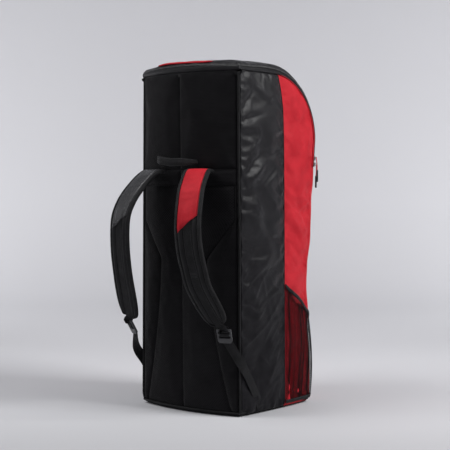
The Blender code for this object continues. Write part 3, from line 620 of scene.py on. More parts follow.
# The padded back: air mesh laminated to foam and quilted into pads, two above the yoke band and
# four below it, with a slanting seam between the middle and side pads. Each pad is sewn down all
# round, so it sinks at its seams and swells between them.
YOKE_LOW = 0.588
YOKE_HIGH = 0.630
WAIST_Z = 0.400
KNEE_Z = 0.500
WAIST_X = 0.080
PAD_FOOT_X = 0.146
PAD_THICKNESS = 0.006
SEAM_DEPTH = 0.0042
CORNER_WELT = 0.0032


def pad_edge_x(z):
    if z > KNEE_Z:
        return half_width(z) - 0.012
    if z > WAIST_Z:
        return lerp(WAIST_X, half_width(z) - 0.012, (z - WAIST_Z) / (KNEE_Z - WAIST_Z))
    return lerp(WAIST_X, PAD_FOOT_X, ((WAIST_Z - z) / (WAIST_Z - FOOT)) ** 1.6)


def back_middle(z):
    """The centre seam, where the left and right pads meet."""
    return 0.0


def back_edge_x(z):
    return half_width(z) - 2 * CORNER_WELT - 0.0004


def back_pad(name, side, inner, outer, low, high, columns, rows, *replaced):
    def point(u, v):
        z = lerp(low, high, v)
        x = side * lerp(inner(z), outer(z), u)
        return Vector((x, back_y(x, z), z))

    def quilted(u, v, spot):
        width = outer(spot.z) - inner(spot.z)
        to_edge = max(0.0, min(u * width, (1 - u) * width, v * (high - low), (1 - v) * (high - low)))
        sunk = SEAM_DEPTH * math.exp(-((to_edge / 0.0045) ** 1.4))
        swell = 0.0022 * (1.0 - math.exp(-to_edge / 0.022))
        near = math.exp(-to_edge / 0.014) * smooth(0.0, 0.004, to_edge)
        puckers = 0.0011 * near * noise.noise(spot * 62.0 + Vector((side * 9.0, 0.0, 0.0)))
        rolling = noise.noise(Vector((spot.x * 13.0, side * 3.0, spot.z * 9.0)))
        billow = 0.0016 * smooth(0.0, 0.03, to_edge) * rolling
        return swell + puckers + billow - sunk

    pad = cut_panel(name, point, steps(columns, 0.5), steps(rows, 0.4), quilted)
    settle(pad, 1.2, 0.0015, 3.0, 0.003, 8)
    refine(pad)
    thicken(pad, PAD_THICKNESS)
    dress(pad, AIR_MESH, "bag", "black_air_mesh", *replaced)


for label, side in (("right", 1), ("left", -1)):
    for part, node, inner, outer, low, high, columns, rows in (
        ("upper", f"back_pad_upper_{label}", back_middle, back_edge_x, YOKE_HIGH, SEAM_HEIGHT, 34, 44),
        ("middle", f"back_pad_middle_{label}", back_middle, pad_edge_x, FOOT, YOKE_LOW, 30, 92),
        ("side", f"back_pad_side_{label}", pad_edge_x, back_edge_x, FOOT, YOKE_LOW, 18, 92),
        ("yoke", "back_yoke", back_middle, back_edge_x, YOKE_LOW, YOKE_HIGH, 34, 12),
    ):
        back_pad(f"back_{part}_{label}", side, inner, outer, low, high, columns, rows, node)


def swept(name, spots, wides, section):
    """A solid drawn along spots. wides gives the width direction at each one, and section(i) the
    outline there, as (across, out) pairs. Its UV map runs across and along, in metres."""
    bm = bmesh.new()
    uv = bm.loops.layers.uv.new("cloth")
    rings, place, run = [], {}, 0.0
    for i, spot in enumerate(spots):
        ahead = spots[min(i + 1, len(spots) - 1)] - spots[max(i - 1, 0)]
        wide = wides[i] - ahead * (wides[i].dot(ahead) / ahead.dot(ahead))
        wide.normalize()
        out = wide.cross(ahead).normalized()
        run += (spot - spots[i - 1]).length if i else 0.0
        ring = []
        for a, b in section(i):
            vert = bm.verts.new(spot + wide * a + out * b)
            place[vert] = (a, run)
            ring.append(vert)
        rings.append(ring)
    count = len(rings[0])
    for a, b in zip(rings, rings[1:]):
        for i in range(count):
            j = (i + 1) % count
            bm.faces.new((a[i], a[j], b[j], b[i]))
    for ring in (rings[0], rings[-1]):
        bm.faces.new(ring)
    for face in bm.faces:
        for loop in face.loops:
            loop[uv].uv = place[loop.vert]
    bmesh.ops.recalc_face_normals(bm, faces=bm.faces)
    mesh = bpy.data.meshes.new(name)
    bm.to_mesh(mesh)
    bm.free()
    mesh.shade_smooth()
    mesh.set_sharp_from_angle(angle=math.radians(50))
    return placed(name, mesh)


def ring_of(radius, sides=12, flat=1.0):
    return [
        (radius * math.cos(2 * math.pi * i / sides), radius * flat * math.sin(2 * math.pi * i / sides))
        for i in range(sides)
    ]


# The piped seams: a cord wrapped in tape, sewn into each back corner, and a thin one between the
# black and red panels of each side.
WELT_STEPS = 160
FORWARD = Vector((0.0, 1.0, 0.0))
for label, side in (("right", 1), ("left", -1)):
    corner, seam = [], []
    for i in range(WELT_STEPS + 1):
        z = lerp(FOOT, SEAM_HEIGHT - 0.002, i / WELT_STEPS)
        wobble = 0.0004 * noise.noise(Vector((side * 5.0, 0.0, z * 40.0)))
        corner_x = side * (half_width(z) - CORNER_WELT + wobble)
        corner.append(Vector((corner_x, BACK_Y + foot_tuck(z) + 0.0024 + wobble, z)))
        y = piping_y(z)
        seam.append(Vector((side * (side_x(y, z) - 0.0006 + wobble), y, min(z, side_top(y) - 0.002))))
    forward = [FORWARD] * (WELT_STEPS + 1)
    thick = swept(f"corner_welt_{label}", corner, forward, lambda _: ring_of(CORNER_WELT))
    dress(thick, BINDING, "bag", "black_webbing", f"corner_piping_{label}")
    thin = swept(f"side_welt_{label}", seam, forward, lambda _: ring_of(0.0017, 10))
    dress(thin, BINDING, "bag", "black_webbing", f"side_piping_{label}")


# The side panels: a coated nylon panel behind the piping and a red polyester one in front of it.
# Both are cut a little full, so they pucker along their seams and crease where the bag flexes.
WALL = 0.0022
CREASES = [
    (-0.118, 0.800, 0.95, 0.050, 0.0085, -0.0048),
    (-0.108, 0.760, 0.25, 0.060, 0.0065, -0.0040),
    (-0.110, 0.735, -0.30, 0.045, 0.0120, 0.0040),
    (-0.100, 0.640, 0.85, 0.075, 0.0110, -0.0055),
    (-0.080, 0.625, 0.75, 0.060, 0.0100, 0.0040),
    (-0.030, 0.615, 0.60, 0.055, 0.0090, -0.0040),
    (-0.075, 0.840, -0.60, 0.090, 0.0100, 0.0032),
    (-0.090, 0.500, -0.70, 0.070, 0.0140, 0.0045),
    (-0.040, 0.470, -0.85, 0.080, 0.0150, -0.0040),
    (-0.070, 0.380, 0.60, 0.075, 0.0160, 0.0040),
    (-0.020, 0.320, 0.80, 0.070, 0.0130, -0.0036),
    (-0.110, 0.270, -0.50, 0.055, 0.0120, 0.0036),
    (-0.060, 0.170, 0.90, 0.080, 0.0120, -0.0036),
    (-0.030, 0.110, 1.10, 0.065, 0.0090, 0.0030),
    (0.085, 0.480, -0.95, 0.090, 0.0110, 0.0038),
    (0.110, 0.520, -1.00, 0.080, 0.0100, -0.0036),
    (0.080, 0.420, -0.85, 0.070, 0.0120, -0.0030),
    (0.060, 0.600, 0.70, 0.060, 0.0090, 0.0022),
    (0.140, 0.700, 1.20, 0.050, 0.0070, 0.0018),
]
FOLDS = [(0.75, 0.034, 0.0027), (-0.85, 0.042, 0.0024), (0.15, 0.050, 0.0014)]


def creased(y, z):
    """Soft folds that lie across the side: each has a middle, a slope, a length, a width and a
    height."""
    total = 0.0
    for middle_y, middle_z, slope, length, width, height in CREASES:
        along = (y - middle_y) * math.cos(slope) + (z - middle_z) * math.sin(slope)
        aside = (z - middle_z) * math.cos(slope) - (y - middle_y) * math.sin(slope)
        total += height * math.exp(-((along / length) ** 2) * 2.0 - (aside / width) ** 2)
    return total


def side_relief(spot, to_edge, along, fullness, seed):
    """Puckers square to the seams, broad billows and the creases; nothing at the seam itself."""
    held = smooth(0.0, 0.012, to_edge)
    near = math.exp(-to_edge / 0.026) * smooth(0.0, 0.005, to_edge)
    puckers = 0.0060 * near * noise.noise(Vector((seed, along * 44.0 + to_edge * 16.0, to_edge * 9.0)))
    small = 0.0026 * near * noise.noise(Vector((seed + 7.0, along * 105.0, to_edge * 20.0)))
    rolling = Vector((seed, spot.y * 14.0 + spot.z * 5.0, spot.z * 11.0 - spot.y * 6.0))
    billow = 0.0075 * held * noise.noise(rolling)
    folds = 0.0
    for slope, size, height in FOLDS:
        down = spot.y * math.cos(slope) + spot.z * math.sin(slope)
        over = spot.z * math.cos(slope) - spot.y * math.sin(slope)
        bend = 0.5 * noise.noise(Vector((seed, down * 9.0, over * 9.0)))
        ridge = noise.noise(Vector((seed + slope, down * 7.0, over / size + bend)))
        patch = smooth(-0.15, 0.35, noise.noise(Vector((seed - slope, spot.y * 12.0, spot.z * 8.0))))
        folds += height * patch * (1.0 - min(1.0, abs(ridge) * 4.5)) ** 1.5
    return fullness * (puckers + small + billow + held * folds)


for label, side in (("right", 1), ("left", -1)):

    def black_point(u, v):
        low = BACK_Y + 2 * CORNER_WELT - 0.0015
        guess = lerp(low, PIPING_Y, u)
        z = lerp(FOOT - 0.004, side_top(guess) - 0.0006, v)
        y = lerp(low + foot_tuck(z), piping_y(z) - 0.0006, u)
        return Vector((side * side_x(y, z), y, z))

    def black_lift(u, v, spot):
        width = PIPING_Y - BACK_Y
        to_edge = min(u * width, (1 - u) * width, v * 0.88, (1 - v) * 0.88)
        along = spot.z if min(u, 1 - u) * width < min(v, 1 - v) * 0.88 else spot.y
        held = smooth(0.0, 0.015, to_edge)
        return side_relief(spot, to_edge, along, 0.9, side * 4.0) + 0.85 * held * creased(spot.y, spot.z)

    black = cut_panel(f"side_nylon_{label}", black_point, steps(40, 0.25), steps(170, 0.1), black_lift)
    settle(black, 0.6, 0.010, 0.25, 0.007)
    refine(black)
    thicken(black, WALL)
    dress(black, BLACK_CLOTH, "bag", "black_nylon", f"side_black_{label}")

    def red_point(u, v):
        start = piping_y(SEAM_HEIGHT) + 0.0010
        reach = CURVE_DEPTH if u >= 1 else lerp(start, CURVE_DEPTH, math.sin(u * math.pi / 2))
        top = side_top(reach, 0.0006)
        z = lerp(FOOT - 0.004, top, v)
        share = (reach - start) / (CURVE_DEPTH - start)
        y = lerp(piping_y(z) + 0.0008, front_edge_y(min(z, CURVE_Z)) - 0.0006, share)
        return Vector((side * side_x(y, z), y, z))

    def red_lift(u, v, spot):
        from_piping = spot.y - piping_y(spot.z)
        from_front = front_edge_y(min(spot.z, CURVE_Z)) - spot.y
        from_top = side_top(spot.y) - spot.z
        to_edge = max(0.0, min(from_piping, from_front, from_top, spot.z - FOOT))
        along = spot.z + 0.4 * spot.y
        held = smooth(0.0, 0.015, to_edge)
        calm = 0.55 if spot.z > 0.55 else 0.75
        return side_relief(spot, to_edge, along, calm, side * 6.0 + 1.0) + held * creased(spot.y, spot.z)

    red = cut_panel(f"side_red_cloth_{label}", red_point, steps(34), steps(170, 0.1), red_lift)
    settle(red, 0.5, 0.006, 0.4, 0.005)
    refine(red)
    thicken(red, WALL)
    dress(red, RED_CLOTH, "bag", "red_polyester", f"side_red_{label}")

    def corner_point(u, v):
        s = lerp((FOOT - 0.004) / CURVE_Z, HINGE_Z / CURVE_Z, v)
        return skin(side * (wrap_half(s) - lerp(0.0, SHOULDER * math.pi / 2, u)), s)

    def corner_lift(u, v, spot):
        fold = noise.noise(Vector((side * 3.0, u * 1.5, spot.z * 17.0)))
        return smooth(0.0, 0.25, min(u, 1 - u)) * 0.0032 * fold

    turned = cut_panel(f"front_corner_cloth_{label}", corner_point, steps(14), steps(120), corner_lift)
    refine(turned)
    thicken(turned, WALL)
    dress(turned, RED_CLOTH, "bag", "red_polyester", f"front_corner_{label}")


# The front: one red panel of the same polyester, cut from the foot to the fold under the lid and
# sewn into both corner seams. It is a little full, so it ripples along them.
def front_point(u, v):
    s = lerp((FOOT - 0.004) / CURVE_Z, HINGE_Z / CURVE_Z, v)
    half = wrap_half(s) - SHOULDER * math.pi / 2
    return skin(lerp(half, -half, u), s)


def front_lift(u, v, spot):
    to_edge = min(u, 1 - u) * 0.29
    return side_relief(spot, min(to_edge, v * 0.64, (1 - v) * 0.64), spot.z, 0.7, 21.0)


front = cut_panel("front_red_cloth", front_point, steps(48, 0.1), steps(110, 0.1), front_lift)
settle(front, 0.4, 0.006, 0.4, 0.004)
refine(front)
thicken(front, WALL)
dress(front, RED_CLOTH, "bag", "red_polyester", "front_panel")

# The lid and its zip. A band of the shell's black nylon runs round the top as the rim; inside it
# lie the two halves of a coil zip, and inside those the lid: black nylon with a red insert.
TAPE = 0.0080
LID_EDGE = RIM + TAPE + 0.0005
RIM_TURN = 0.0034
RIM_TURN_END = 1.90
BAND_THICKNESS = 0.0014
FOLD_LOW = HINGE_Z - 0.006


def rim_band(name, near, far, lifts, rows, material, body, slot_name, *replaced):
    """A strip that runs round the lid between two distances from the seam."""
    routes = [rim_route(lerp(near, far, i / rows)) for i in range(rows + 1)]
    last = len(routes[0]) - 1

    def point(u, v):
        reach, s = routes[round(v * rows)][round(u * last)]
        return skin(reach, s)

    def lift(u, v, spot):
        return through(lifts, v) + 0.0007 * noise.noise(spot * 30.0) * math.sin(math.pi * v)

    band = cut_panel(name, point, steps(last), steps(rows), lift)
    thicken(band, BAND_THICKNESS)
    return dress(band, material, body, slot_name, *replaced)


def red_turnover(side, label):
    """The edge of the red side cloth, turned over the shoulder as far as the rim. It narrows over
    the top curve and ends at the side piping."""
    def point(u, v):
        s = lerp(HINGE_Z / CURVE_Z, RIM_TURN_END, u)
        width = RIM_TURN * (1.0 - smooth(1.0, 1.6, s)) + 0.0004
        return skin(side * (wrap_half(s) - lerp(-0.0002, width, v)), s)

    def lift(u, v, spot):
        return through([0.0004, 0.0022, 0.0026, 0.0020], v)

    strip = cut_panel(f"red_turnover_{label}", point, steps(90), steps(5), lift)
    thicken(strip, BAND_THICKNESS)
    dress(strip, RED_CLOTH, "bag", "red_polyester")


def rim_seam_tape():
    """Binding tape inside the seam between the rim and the back and side panels."""
    spots, wides = [], []
    for reach, s in rim_route(0.0):
        spot, normal = skin(reach, s), side_edge(s)[1]
        at_back = smooth(0.0040, 0.0010, spot.y - back_y(spot.x, SEAM_HEIGHT))
        inward = Vector((-math.copysign(1.0 - at_back, reach), at_back, 0.0)).normalized()
        down = Vector((0.0, normal.x, normal.y))
        spots.append(spot + inward * 0.0026 - down * 0.0040)
        wides.append(down)
    outline = [(-0.0080, -0.0005), (0.0070, -0.0005), (0.0070, 0.0005), (-0.0080, 0.0005)]
    dress(swept("rim_seam_tape", spots, wides, lambda _: outline), BINDING, "bag", "black_webbing")


rim_band("lid_rim_band", 0.0, RIM, [-0.0003, 0.0020, 0.0016, 0.0022, 0.0004], 8, BLACK_CLOTH, "bag",
         "black_nylon", "lid_rim_right", "lid_rim_left", "lid_rim_back")
rim_seam_tape()
for label, side in (("right", 1), ("left", -1)):
    red_turnover(side, label)
rim_band("zip_tape_of_bag", RIM - 0.001, RIM + TAPE / 2, [-0.0004, 0.0, 0.0], 3, BINDING, "bag",
         "black_webbing", "lid_zip_right", "lid_zip_left", "lid_zip_back")
rim_band("zip_tape_of_lid", RIM + TAPE / 2 + 0.0002, LID_EDGE + 0.001, [0.0, 0.0, -0.0004], 3, BINDING,
         "lid", "black_webbing")


def stations(points, pitch):
    """(position, direction) every pitch along a line of points."""
    found, left = [], pitch / 2
    for a, b in zip(points, points[1:]):
        length = (b - a).length
        while left < length:
            found.append((a.lerp(b, left / length), (b - a).normalized()))
            left += pitch
        left -= length
    return found


def solo(piece):
    """Leaves only this piece selected and active."""
    bpy.ops.object.select_all(action="DESELECT")
    piece.select_set(True)
    bpy.context.view_layer.objects.active = piece


def repeated(name, template, frames):
    """One mesh of a small shape repeated in frames of (origin, x, y, z directions)."""
    corners, faces = template
    points, polygons = [], []
    for origin, x, y, z in frames:
        first = len(points)
        points += [origin + x * a + y * b + z * c for a, b, c in corners]
        polygons += [tuple(first + i for i in face) for face in faces]
    mesh = bpy.data.meshes.new(name)
    mesh.from_pydata([tuple(p) for p in points], [], polygons)
    mesh.shade_smooth()
    piece = placed(name, mesh)
    solo(piece)
    bpy.ops.object.mode_set(mode="EDIT")
    bpy.ops.mesh.select_all(action="SELECT")
    bpy.ops.mesh.normals_make_consistent(inside=False)
    bpy.ops.object.mode_set(mode="OBJECT")
    piece.select_set(False)
    return piece


def spindle(length, width, height, waist=0.45):
    """A short rounded bar along x: four sides, narrow at both ends."""
    corners, faces = [], []
    for x, k in ((-0.5, waist), (-0.28, 1.0), (0.28, 1.0), (0.5, waist)):
        square = ((-1, -1), (1, -1), (1, 1), (-1, 1))
        corners += [(x * length, a * width * k / 2, b * height * k / 2) for a, b in square]
    for ring in range(3):
        for i in range(4):
            j = (i + 1) % 4
            faces.append((4 * ring + i, 4 * ring + j, 4 * ring + 4 + j, 4 * ring + 4 + i))
    return corners, faces + [(3, 2, 1, 0), (12, 13, 14, 15)]


def moulded(name, dark, light, roughness, grain=900.0, metallic=0.0):
    """Injection-moulded plastic or cast metal: a fine grain and lighter rubbed edges."""
    material, tree, shader = start_material(name, roughness, 0.5, metallic=metallic)
    shape = tree.nodes.new("ShaderNodeNewGeometry")
    edges = remap(tree, shape.outputs["Pointiness"], 0.52, 0.66)
    rubbed = calc(tree, "MULTIPLY", edges, blotches(tree, 120.0))
    uneven = tint(tree, blotches(tree, 60.0), dark, tuple(c * 1.25 for c in dark))
    colour = tint(tree, rubbed, uneven, light)
    finish_material(tree, shader, colour, blotches(tree, grain, 2.0), 0.0001, 0.35,
                    roughness - 0.06, roughness + 0.10, blotches(tree, 90.0))
    return material


PLASTIC = moulded("black_buckle_plastic", (0.030, 0.030, 0.033), (0.10, 0.10, 0.105), 0.36)
COIL_NYLON = moulded("black_coil_nylon", (0.010, 0.010, 0.011), (0.04, 0.04, 0.042), 0.42)
THREAD = moulded("black_thread", (0.020, 0.020, 0.022), (0.05, 0.05, 0.055), 0.60)

# The zip's coil: a bent monofilament sewn to each tape, whose loops mesh between each other. One
# half stays on the bag and the other goes with the lid.
COIL_PITCH = 0.0022
COIL_SHIFT = 0.0008
coil_line = [skin(reach, s) for reach, s in rim_route(RIM + TAPE / 2, 260)]
coil_in = [skin(reach, s) for reach, s in rim_route(RIM + TAPE / 2 + 0.002, 260)]


def coil_frames(points, inwards, shift):
    frames = []
    for k, (spot, ahead) in enumerate(stations(points, COIL_PITCH)):
        nearest = min(range(len(points)), key=lambda i: (points[i] - spot).length_squared)
        across = inwards[nearest] - points[nearest]
        across = (across - ahead * across.dot(ahead)).normalized()
        out = ahead.cross(across)
        if out.dot(spot - bag_core(spot)) < 0:
            out = -out
        half = 0.25 if shift > 0 else -0.25
        place = spot + across * shift + ahead * COIL_PITCH * half + out * 0.0007
        frames.append((place, across, ahead, out))
    return frames


TOOTH = spindle(0.0042, 0.0013, 0.0017, 0.6)
for owner, shift in (("bag", -COIL_SHIFT), ("lid", COIL_SHIFT)):
    teeth = repeated(f"zip_coil_of_{owner}", TOOTH, coil_frames(coil_line, coil_in, shift))
    dress(teeth, COIL_NYLON, owner, "black_webbing")

# The lid: foam-backed black nylon from the fold over the front, up the curve and back to the zip,
# with a raised red panel sewn on its middle that narrows towards the back.
INSERT_BACK_HALF = 0.085
INSERT_FRONT_HALF = 0.112
INSERT_BACK_GAP = 0.0215
INSERT_START = 1.06
INSERT_CORNER = 0.012
INSERT_TAPER = 0.044


def lid_half(s):
    """Half the lid's width at s, less its rounded back corners."""
    from_back = (3.0 - s) * BACK_RUN
    turn = RIM_CORNER - LID_EDGE
    into_corner = min(turn, max(0.0, RIM_CORNER - from_back))
    return wrap_half(s) - LID_EDGE - turn + math.sqrt(turn**2 - into_corner**2)


def lid_s(v):
    return lerp(FOLD_LOW / CURVE_Z, back_stop(LID_EDGE), v)


def lid_point(u, v):
    s = lid_s(v)
    return skin(lerp(lid_half(s), -lid_half(s), u), s)


def lid_drift(spot):
    """The lid's broad unevenness, which the red panel on it follows."""
    return 0.0045 * noise.noise(spot * 11.0 + Vector((4.0, 0.0, 0.0)))


def lid_lift(u, v, spot):
    s = lid_s(v)
    to_edge = min(min(u, 1 - u) * 2 * lid_half(s), (back_stop(LID_EDGE) - s) * BACK_RUN)
    swell = 0.0030 * smooth(0.0, 0.018, to_edge)
    drift = smooth(0.0, 0.03, to_edge) * lid_drift(spot)
    pucker = 0.0016 * math.exp(-to_edge / 0.02) * smooth(0.0, 0.006, to_edge) * noise.noise(spot * 60.0)
    at_fold = math.exp(-(((spot.z - HINGE_Z - 0.018) / 0.010) ** 2))
    crease = 0.0020 * at_fold * noise.noise(Vector((spot.x * 30.0, 0.0, 2.0)))
    return swell + drift + pucker + crease


def fold_with_lid(piece, material, *replaced):
    """Gives a sheet its material, hides the parts it replaces and bakes its place into its mesh."""
    piece.data.materials.append(material)
    if replaced:
        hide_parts(*replaced)
    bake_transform(piece)


lid = cut_panel("lid_cloth", lid_point, steps(52, 0.3), steps(120, 0.1), lid_lift)
settle(lid, 0.5, 0.004, 0.8, 0.004)
refine(lid)
thicken(lid, 0.0030)
fold_with_lid(lid, BLACK_CLOTH, "lid_shell")


def insert_from_back(s):
    return (back_stop(INSERT_BACK_GAP) - s) * BACK_RUN


def insert_half(s):
    """Half the red panel's width at s, less its rounded back corners."""
    from_back = max(0.0, insert_from_back(s))
    into_corner = max(0.0, INSERT_CORNER - from_back)
    turned = INSERT_CORNER - math.sqrt(max(0.0, INSERT_CORNER**2 - into_corner**2))
    return lerp(INSERT_BACK_HALF, INSERT_FRONT_HALF, min(1.0, from_back / INSERT_TAPER)) - turned


def insert_s(v):
    return lerp(INSERT_START, back_stop(INSERT_BACK_GAP), v)


def insert_point(u, v):
    s = insert_s(v)
    return skin(lerp(insert_half(s), -insert_half(s), u), s)


def insert_lift(u, v, spot):
    s = insert_s(v)
    to_edge = min(min(u, 1 - u) * 2 * insert_half(s), insert_from_back(s), v * 0.4)
    return 0.0038 + 0.0008 * smooth(0.0, 0.006, to_edge) + lid_drift(spot)


insert = cut_panel("lid_red_insert", insert_point, steps(40, 0.3), steps(90, 0.2), insert_lift)
refine(insert)
thicken(insert, 0.0026)
dress(insert, RED_CLOTH, "lid", "red_polyester", "lid_insert")

# Each slider is a cast metal body that rides over the coil, with a bridge on its back. A loop of
# red cord hangs from the bridge and ends in a ribbed moulded grip.
SLIDER_METAL = moulded("cast_slider_metal", (0.50, 0.50, 0.52), (0.80, 0.80, 0.82), 0.28, 400.0, 1.0)


def braided(name, dark, light):
    material, tree, shader = start_material(name, 0.6, 0.15)
    x, y = uv_parts(tree)
    left = ridges(tree, calc(tree, "ADD", calc(tree, "MULTIPLY", x, 1.2), y), 0.0012)
    right = ridges(tree, calc(tree, "SUBTRACT", calc(tree, "MULTIPLY", x, 1.2), y), 0.0012)
    height = calc(tree, "MAXIMUM", left, right)
    # Painted shade and light: the braid's grooves are coloured darker and its crowns lighter.
    colour = tint(tree, height, dark, light)
    finish_material(tree, shader, colour, height, 0.0003, 0.7, 0.5, 0.7, blotches(tree, 80.0))
    return material


RED_CORD = braided("red_braided_cord", (0.20, 0.008, 0.012), (0.55, 0.030, 0.045))


def seat_mesh(piece):
    """Puts a finished piece's place into its mesh."""
    solo(piece)
    bpy.ops.object.transform_apply(location=True, rotation=True, scale=True)
    piece.select_set(False)


def pick_faces(piece, wanted):
    """Selects the faces that wanted(centre, normal) names, and goes into edit mode."""
    solo(piece)
    bpy.ops.object.mode_set(mode="EDIT")
    bpy.ops.mesh.select_mode(type="FACE")
    bpy.ops.mesh.select_all(action="DESELECT")
    bpy.ops.object.mode_set(mode="OBJECT")
    for face in piece.data.polygons:
        face.select = wanted(face.center, face.normal)
    bpy.ops.object.mode_set(mode="EDIT")


def bevel_all(piece, width, segments=2):
    soft = piece.modifiers.new("soft_edges", "BEVEL")
    soft.width = width
    soft.segments = segments
    soft.limit_method = "ANGLE"
    solo(piece)
    bpy.ops.object.modifier_apply(modifier=soft.name)
    bpy.ops.object.shade_smooth_by_angle(angle=math.radians(40))


def join(parts, name):
    bpy.ops.object.select_all(action="DESELECT")
    for part in parts:
        part.select_set(True)
    bpy.context.view_layer.objects.active = parts[0]
    bpy.ops.object.join()
    joined = bpy.context.view_layer.objects.active
    joined.name = name
    joined.data.name = name
    joined.select_set(False)
    return joined


def make_slider(name, node, turn, lying, body):
    """A slider at its node's place. turn faces it outwards; lying is for a level zip."""
    low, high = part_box(node)
    bpy.ops.object.select_all(action="DESELECT")
    bpy.ops.mesh.primitive_cube_add(size=1.0, location=(0.0, 0.0, 0.0))
    block = bpy.context.active_object
    block.scale = (0.0090, 0.0036, 0.0120)
    seat_mesh(block)
    pick_faces(block, lambda centre, normal: normal.y > 0.9)
    bpy.ops.mesh.inset(thickness=0.0014)
    bpy.ops.transform.translate(value=(0.0, 0.0010, 0.0))
    bpy.ops.object.mode_set(mode="OBJECT")
    pick_faces(block, lambda centre, normal: normal.z < -0.9)
    bpy.ops.transform.resize(value=(0.66, 0.9, 1.0))
    bpy.ops.object.mode_set(mode="OBJECT")
    bevel_all(block, 0.0005)
    bpy.ops.mesh.primitive_torus_add(
        location=(0.0, 0.0026, 0.0005), rotation=(0.0, math.pi / 2, 0.0),
        major_segments=24, minor_segments=8, major_radius=0.0030, minor_radius=0.0007,
    )
    bridge = bpy.context.active_object
    seat_mesh(bridge)
    bridge.data.shade_smooth()
    slider = join([block, bridge], name)
    place = Matrix.Translation((low + high) / 2) @ Matrix.Rotation(turn, 4, "Z")
    if lying:
        place = place @ Matrix.Rotation(math.pi / 2, 4, "Y")
    slider.data.transform(place)
    return dress(slider, SLIDER_METAL, body, "slider_metal", node)


GRIP_RUBBER = moulded("black_grip_rubber", (0.0030, 0.0030, 0.0032), (0.0060, 0.0060, 0.0064), 0.62)
CORD_RADIUS = 0.00085
GRIP_RADIUS = 0.0031


def make_pull(label, out, body, cord_node, grip_node=None, stand=0.0):
    """The doubled cord from the slider's bridge, and the grip moulded on its end. stand is how far
    outwards it hangs."""
    low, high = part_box(cord_node)
    top = Vector(((low.x + high.x) / 2, (low.y + high.y) / 2, high.z))
    length = high.z - low.z
    aside = Vector((-out.y, out.x, 0.0))
    strands = []
    for turn in (-1, 1):
        spots = []
        for i in range(15):
            t = i / 14
            spread = 0.0013 * math.sin(math.pi * min(1.0, t * 1.15)) + CORD_RADIUS
            sway = 0.0006 * math.sin(math.pi * t) + stand * t
            spots.append(top + aside * turn * spread + out * sway - Vector((0.0, 0.0, length * t)))
        strands.append(swept(f"strand_{turn}", spots, [aside] * 15, lambda _: ring_of(CORD_RADIUS, 10)))
    bow = []
    for i in range(11):
        angle = math.pi * i / 10
        rise = Vector((0.0, 0.0, 0.0012 * math.sin(angle)))
        bow.append(top + aside * CORD_RADIUS * math.cos(angle) + rise)
    strands.append(swept("bow", bow, [out] * 11, lambda _: ring_of(CORD_RADIUS, 10)))
    dress(join(strands, f"zip_pull_cord_{label}"), RED_CORD, body, "red_cord", cord_node)
    if not grip_node:
        return
    low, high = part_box(grip_node)
    centre = Vector(((low.x + high.x) / 2, (low.y + high.y) / 2, 0.0))
    centre += out * stand
    spots = [centre + Vector((0.0, 0.0, lerp(high.z + 0.001, low.z, i / 40))) for i in range(41)]

    def grip_outline(i):
        t = i / 40
        rib = 0.00022 * math.sin(t * math.pi * 18) if 0.12 < t < 0.9 else 0.0
        shoulder = smooth(-0.06, 0.12, t) * 0.45 + 0.55
        radius = GRIP_RADIUS * shoulder * (1.0 - 0.55 * smooth(0.93, 1.02, t))
        return ring_of(radius + rib, 16, 0.78)

    grip = swept(f"zip_grip_{label}", spots, [aside] * 41, grip_outline)
    dress(grip, GRIP_RUBBER, body, "buckle_plastic", grip_node)


zip_turn = (RIM + TAPE / 2 - 0.0005) / SHOULDER
zip_out = Vector((math.cos(zip_turn), math.sin(zip_turn), 0.0))
make_slider("zip_slider_upper", "slider_upper", zip_turn - math.pi / 2, False, "slider_upper")
make_slider("zip_slider_lower", "slider_lower", zip_turn - math.pi / 2, False, "bag")
make_pull("upper", zip_out, "pull_upper", "pull_cord_upper", "pull_grip_upper", 0.0030)
make_pull("lower", zip_out, "pull_lower", "pull_cord_lower", "pull_grip_lower", -0.0016)

# Stitches: short lengths of thread laid into the cloth along every seam that is sewn from outside.
STITCH = spindle(0.0026, 0.0006, 0.0005, 0.55)
STITCH_PITCH = 0.0036


def stitched(name, lines, cloth, body, across=0.0, thread=None):
    """A row of stitches down each line of points, pressed onto the piece of cloth they go through."""
    frames = []
    for line in lines:
        for spot, ahead in stations(line, STITCH_PITCH):
            found, place, normal, _ = cloth.closest_point_on_mesh(spot)
            if not found or (place - spot).length > 0.012:
                continue
            if normal.dot(spot - bag_core(spot)) < 0 and across == 0.0:
                normal = -normal
            along = (ahead - normal * ahead.dot(normal)).normalized()
            frames.append((place + normal * 0.0001, along, normal.cross(along), normal))
    rows = repeated(name, STITCH, frames)
    return dress(rows, thread or THREAD, body, "black_webbing")


RED_THREAD = moulded("red_thread", (0.42, 0.012, 0.020), (0.60, 0.040, 0.055), 0.60)

lid_seam = [skin(reach, s) for reach, s in rim_route(LID_EDGE + 0.0045, 200)]
rim_seam = [skin(reach, s) for reach, s in rim_route(RIM - 0.0022, 200)]
stitched("stitches_lid_edge", [lid_seam[8:-8]], lid, "lid")
stitched("stitches_rim", [rim_seam], bpy.data.objects["lid_rim_band"], "bag")
insert_side = [[insert_point(u, v) for v in steps(200)] for u in (0.012, 0.988)]
insert_ends = [[insert_point(u, 0.992) for u in steps(80)]]
stitched("stitches_insert", insert_side + insert_ends, insert, "lid", thread=RED_THREAD)

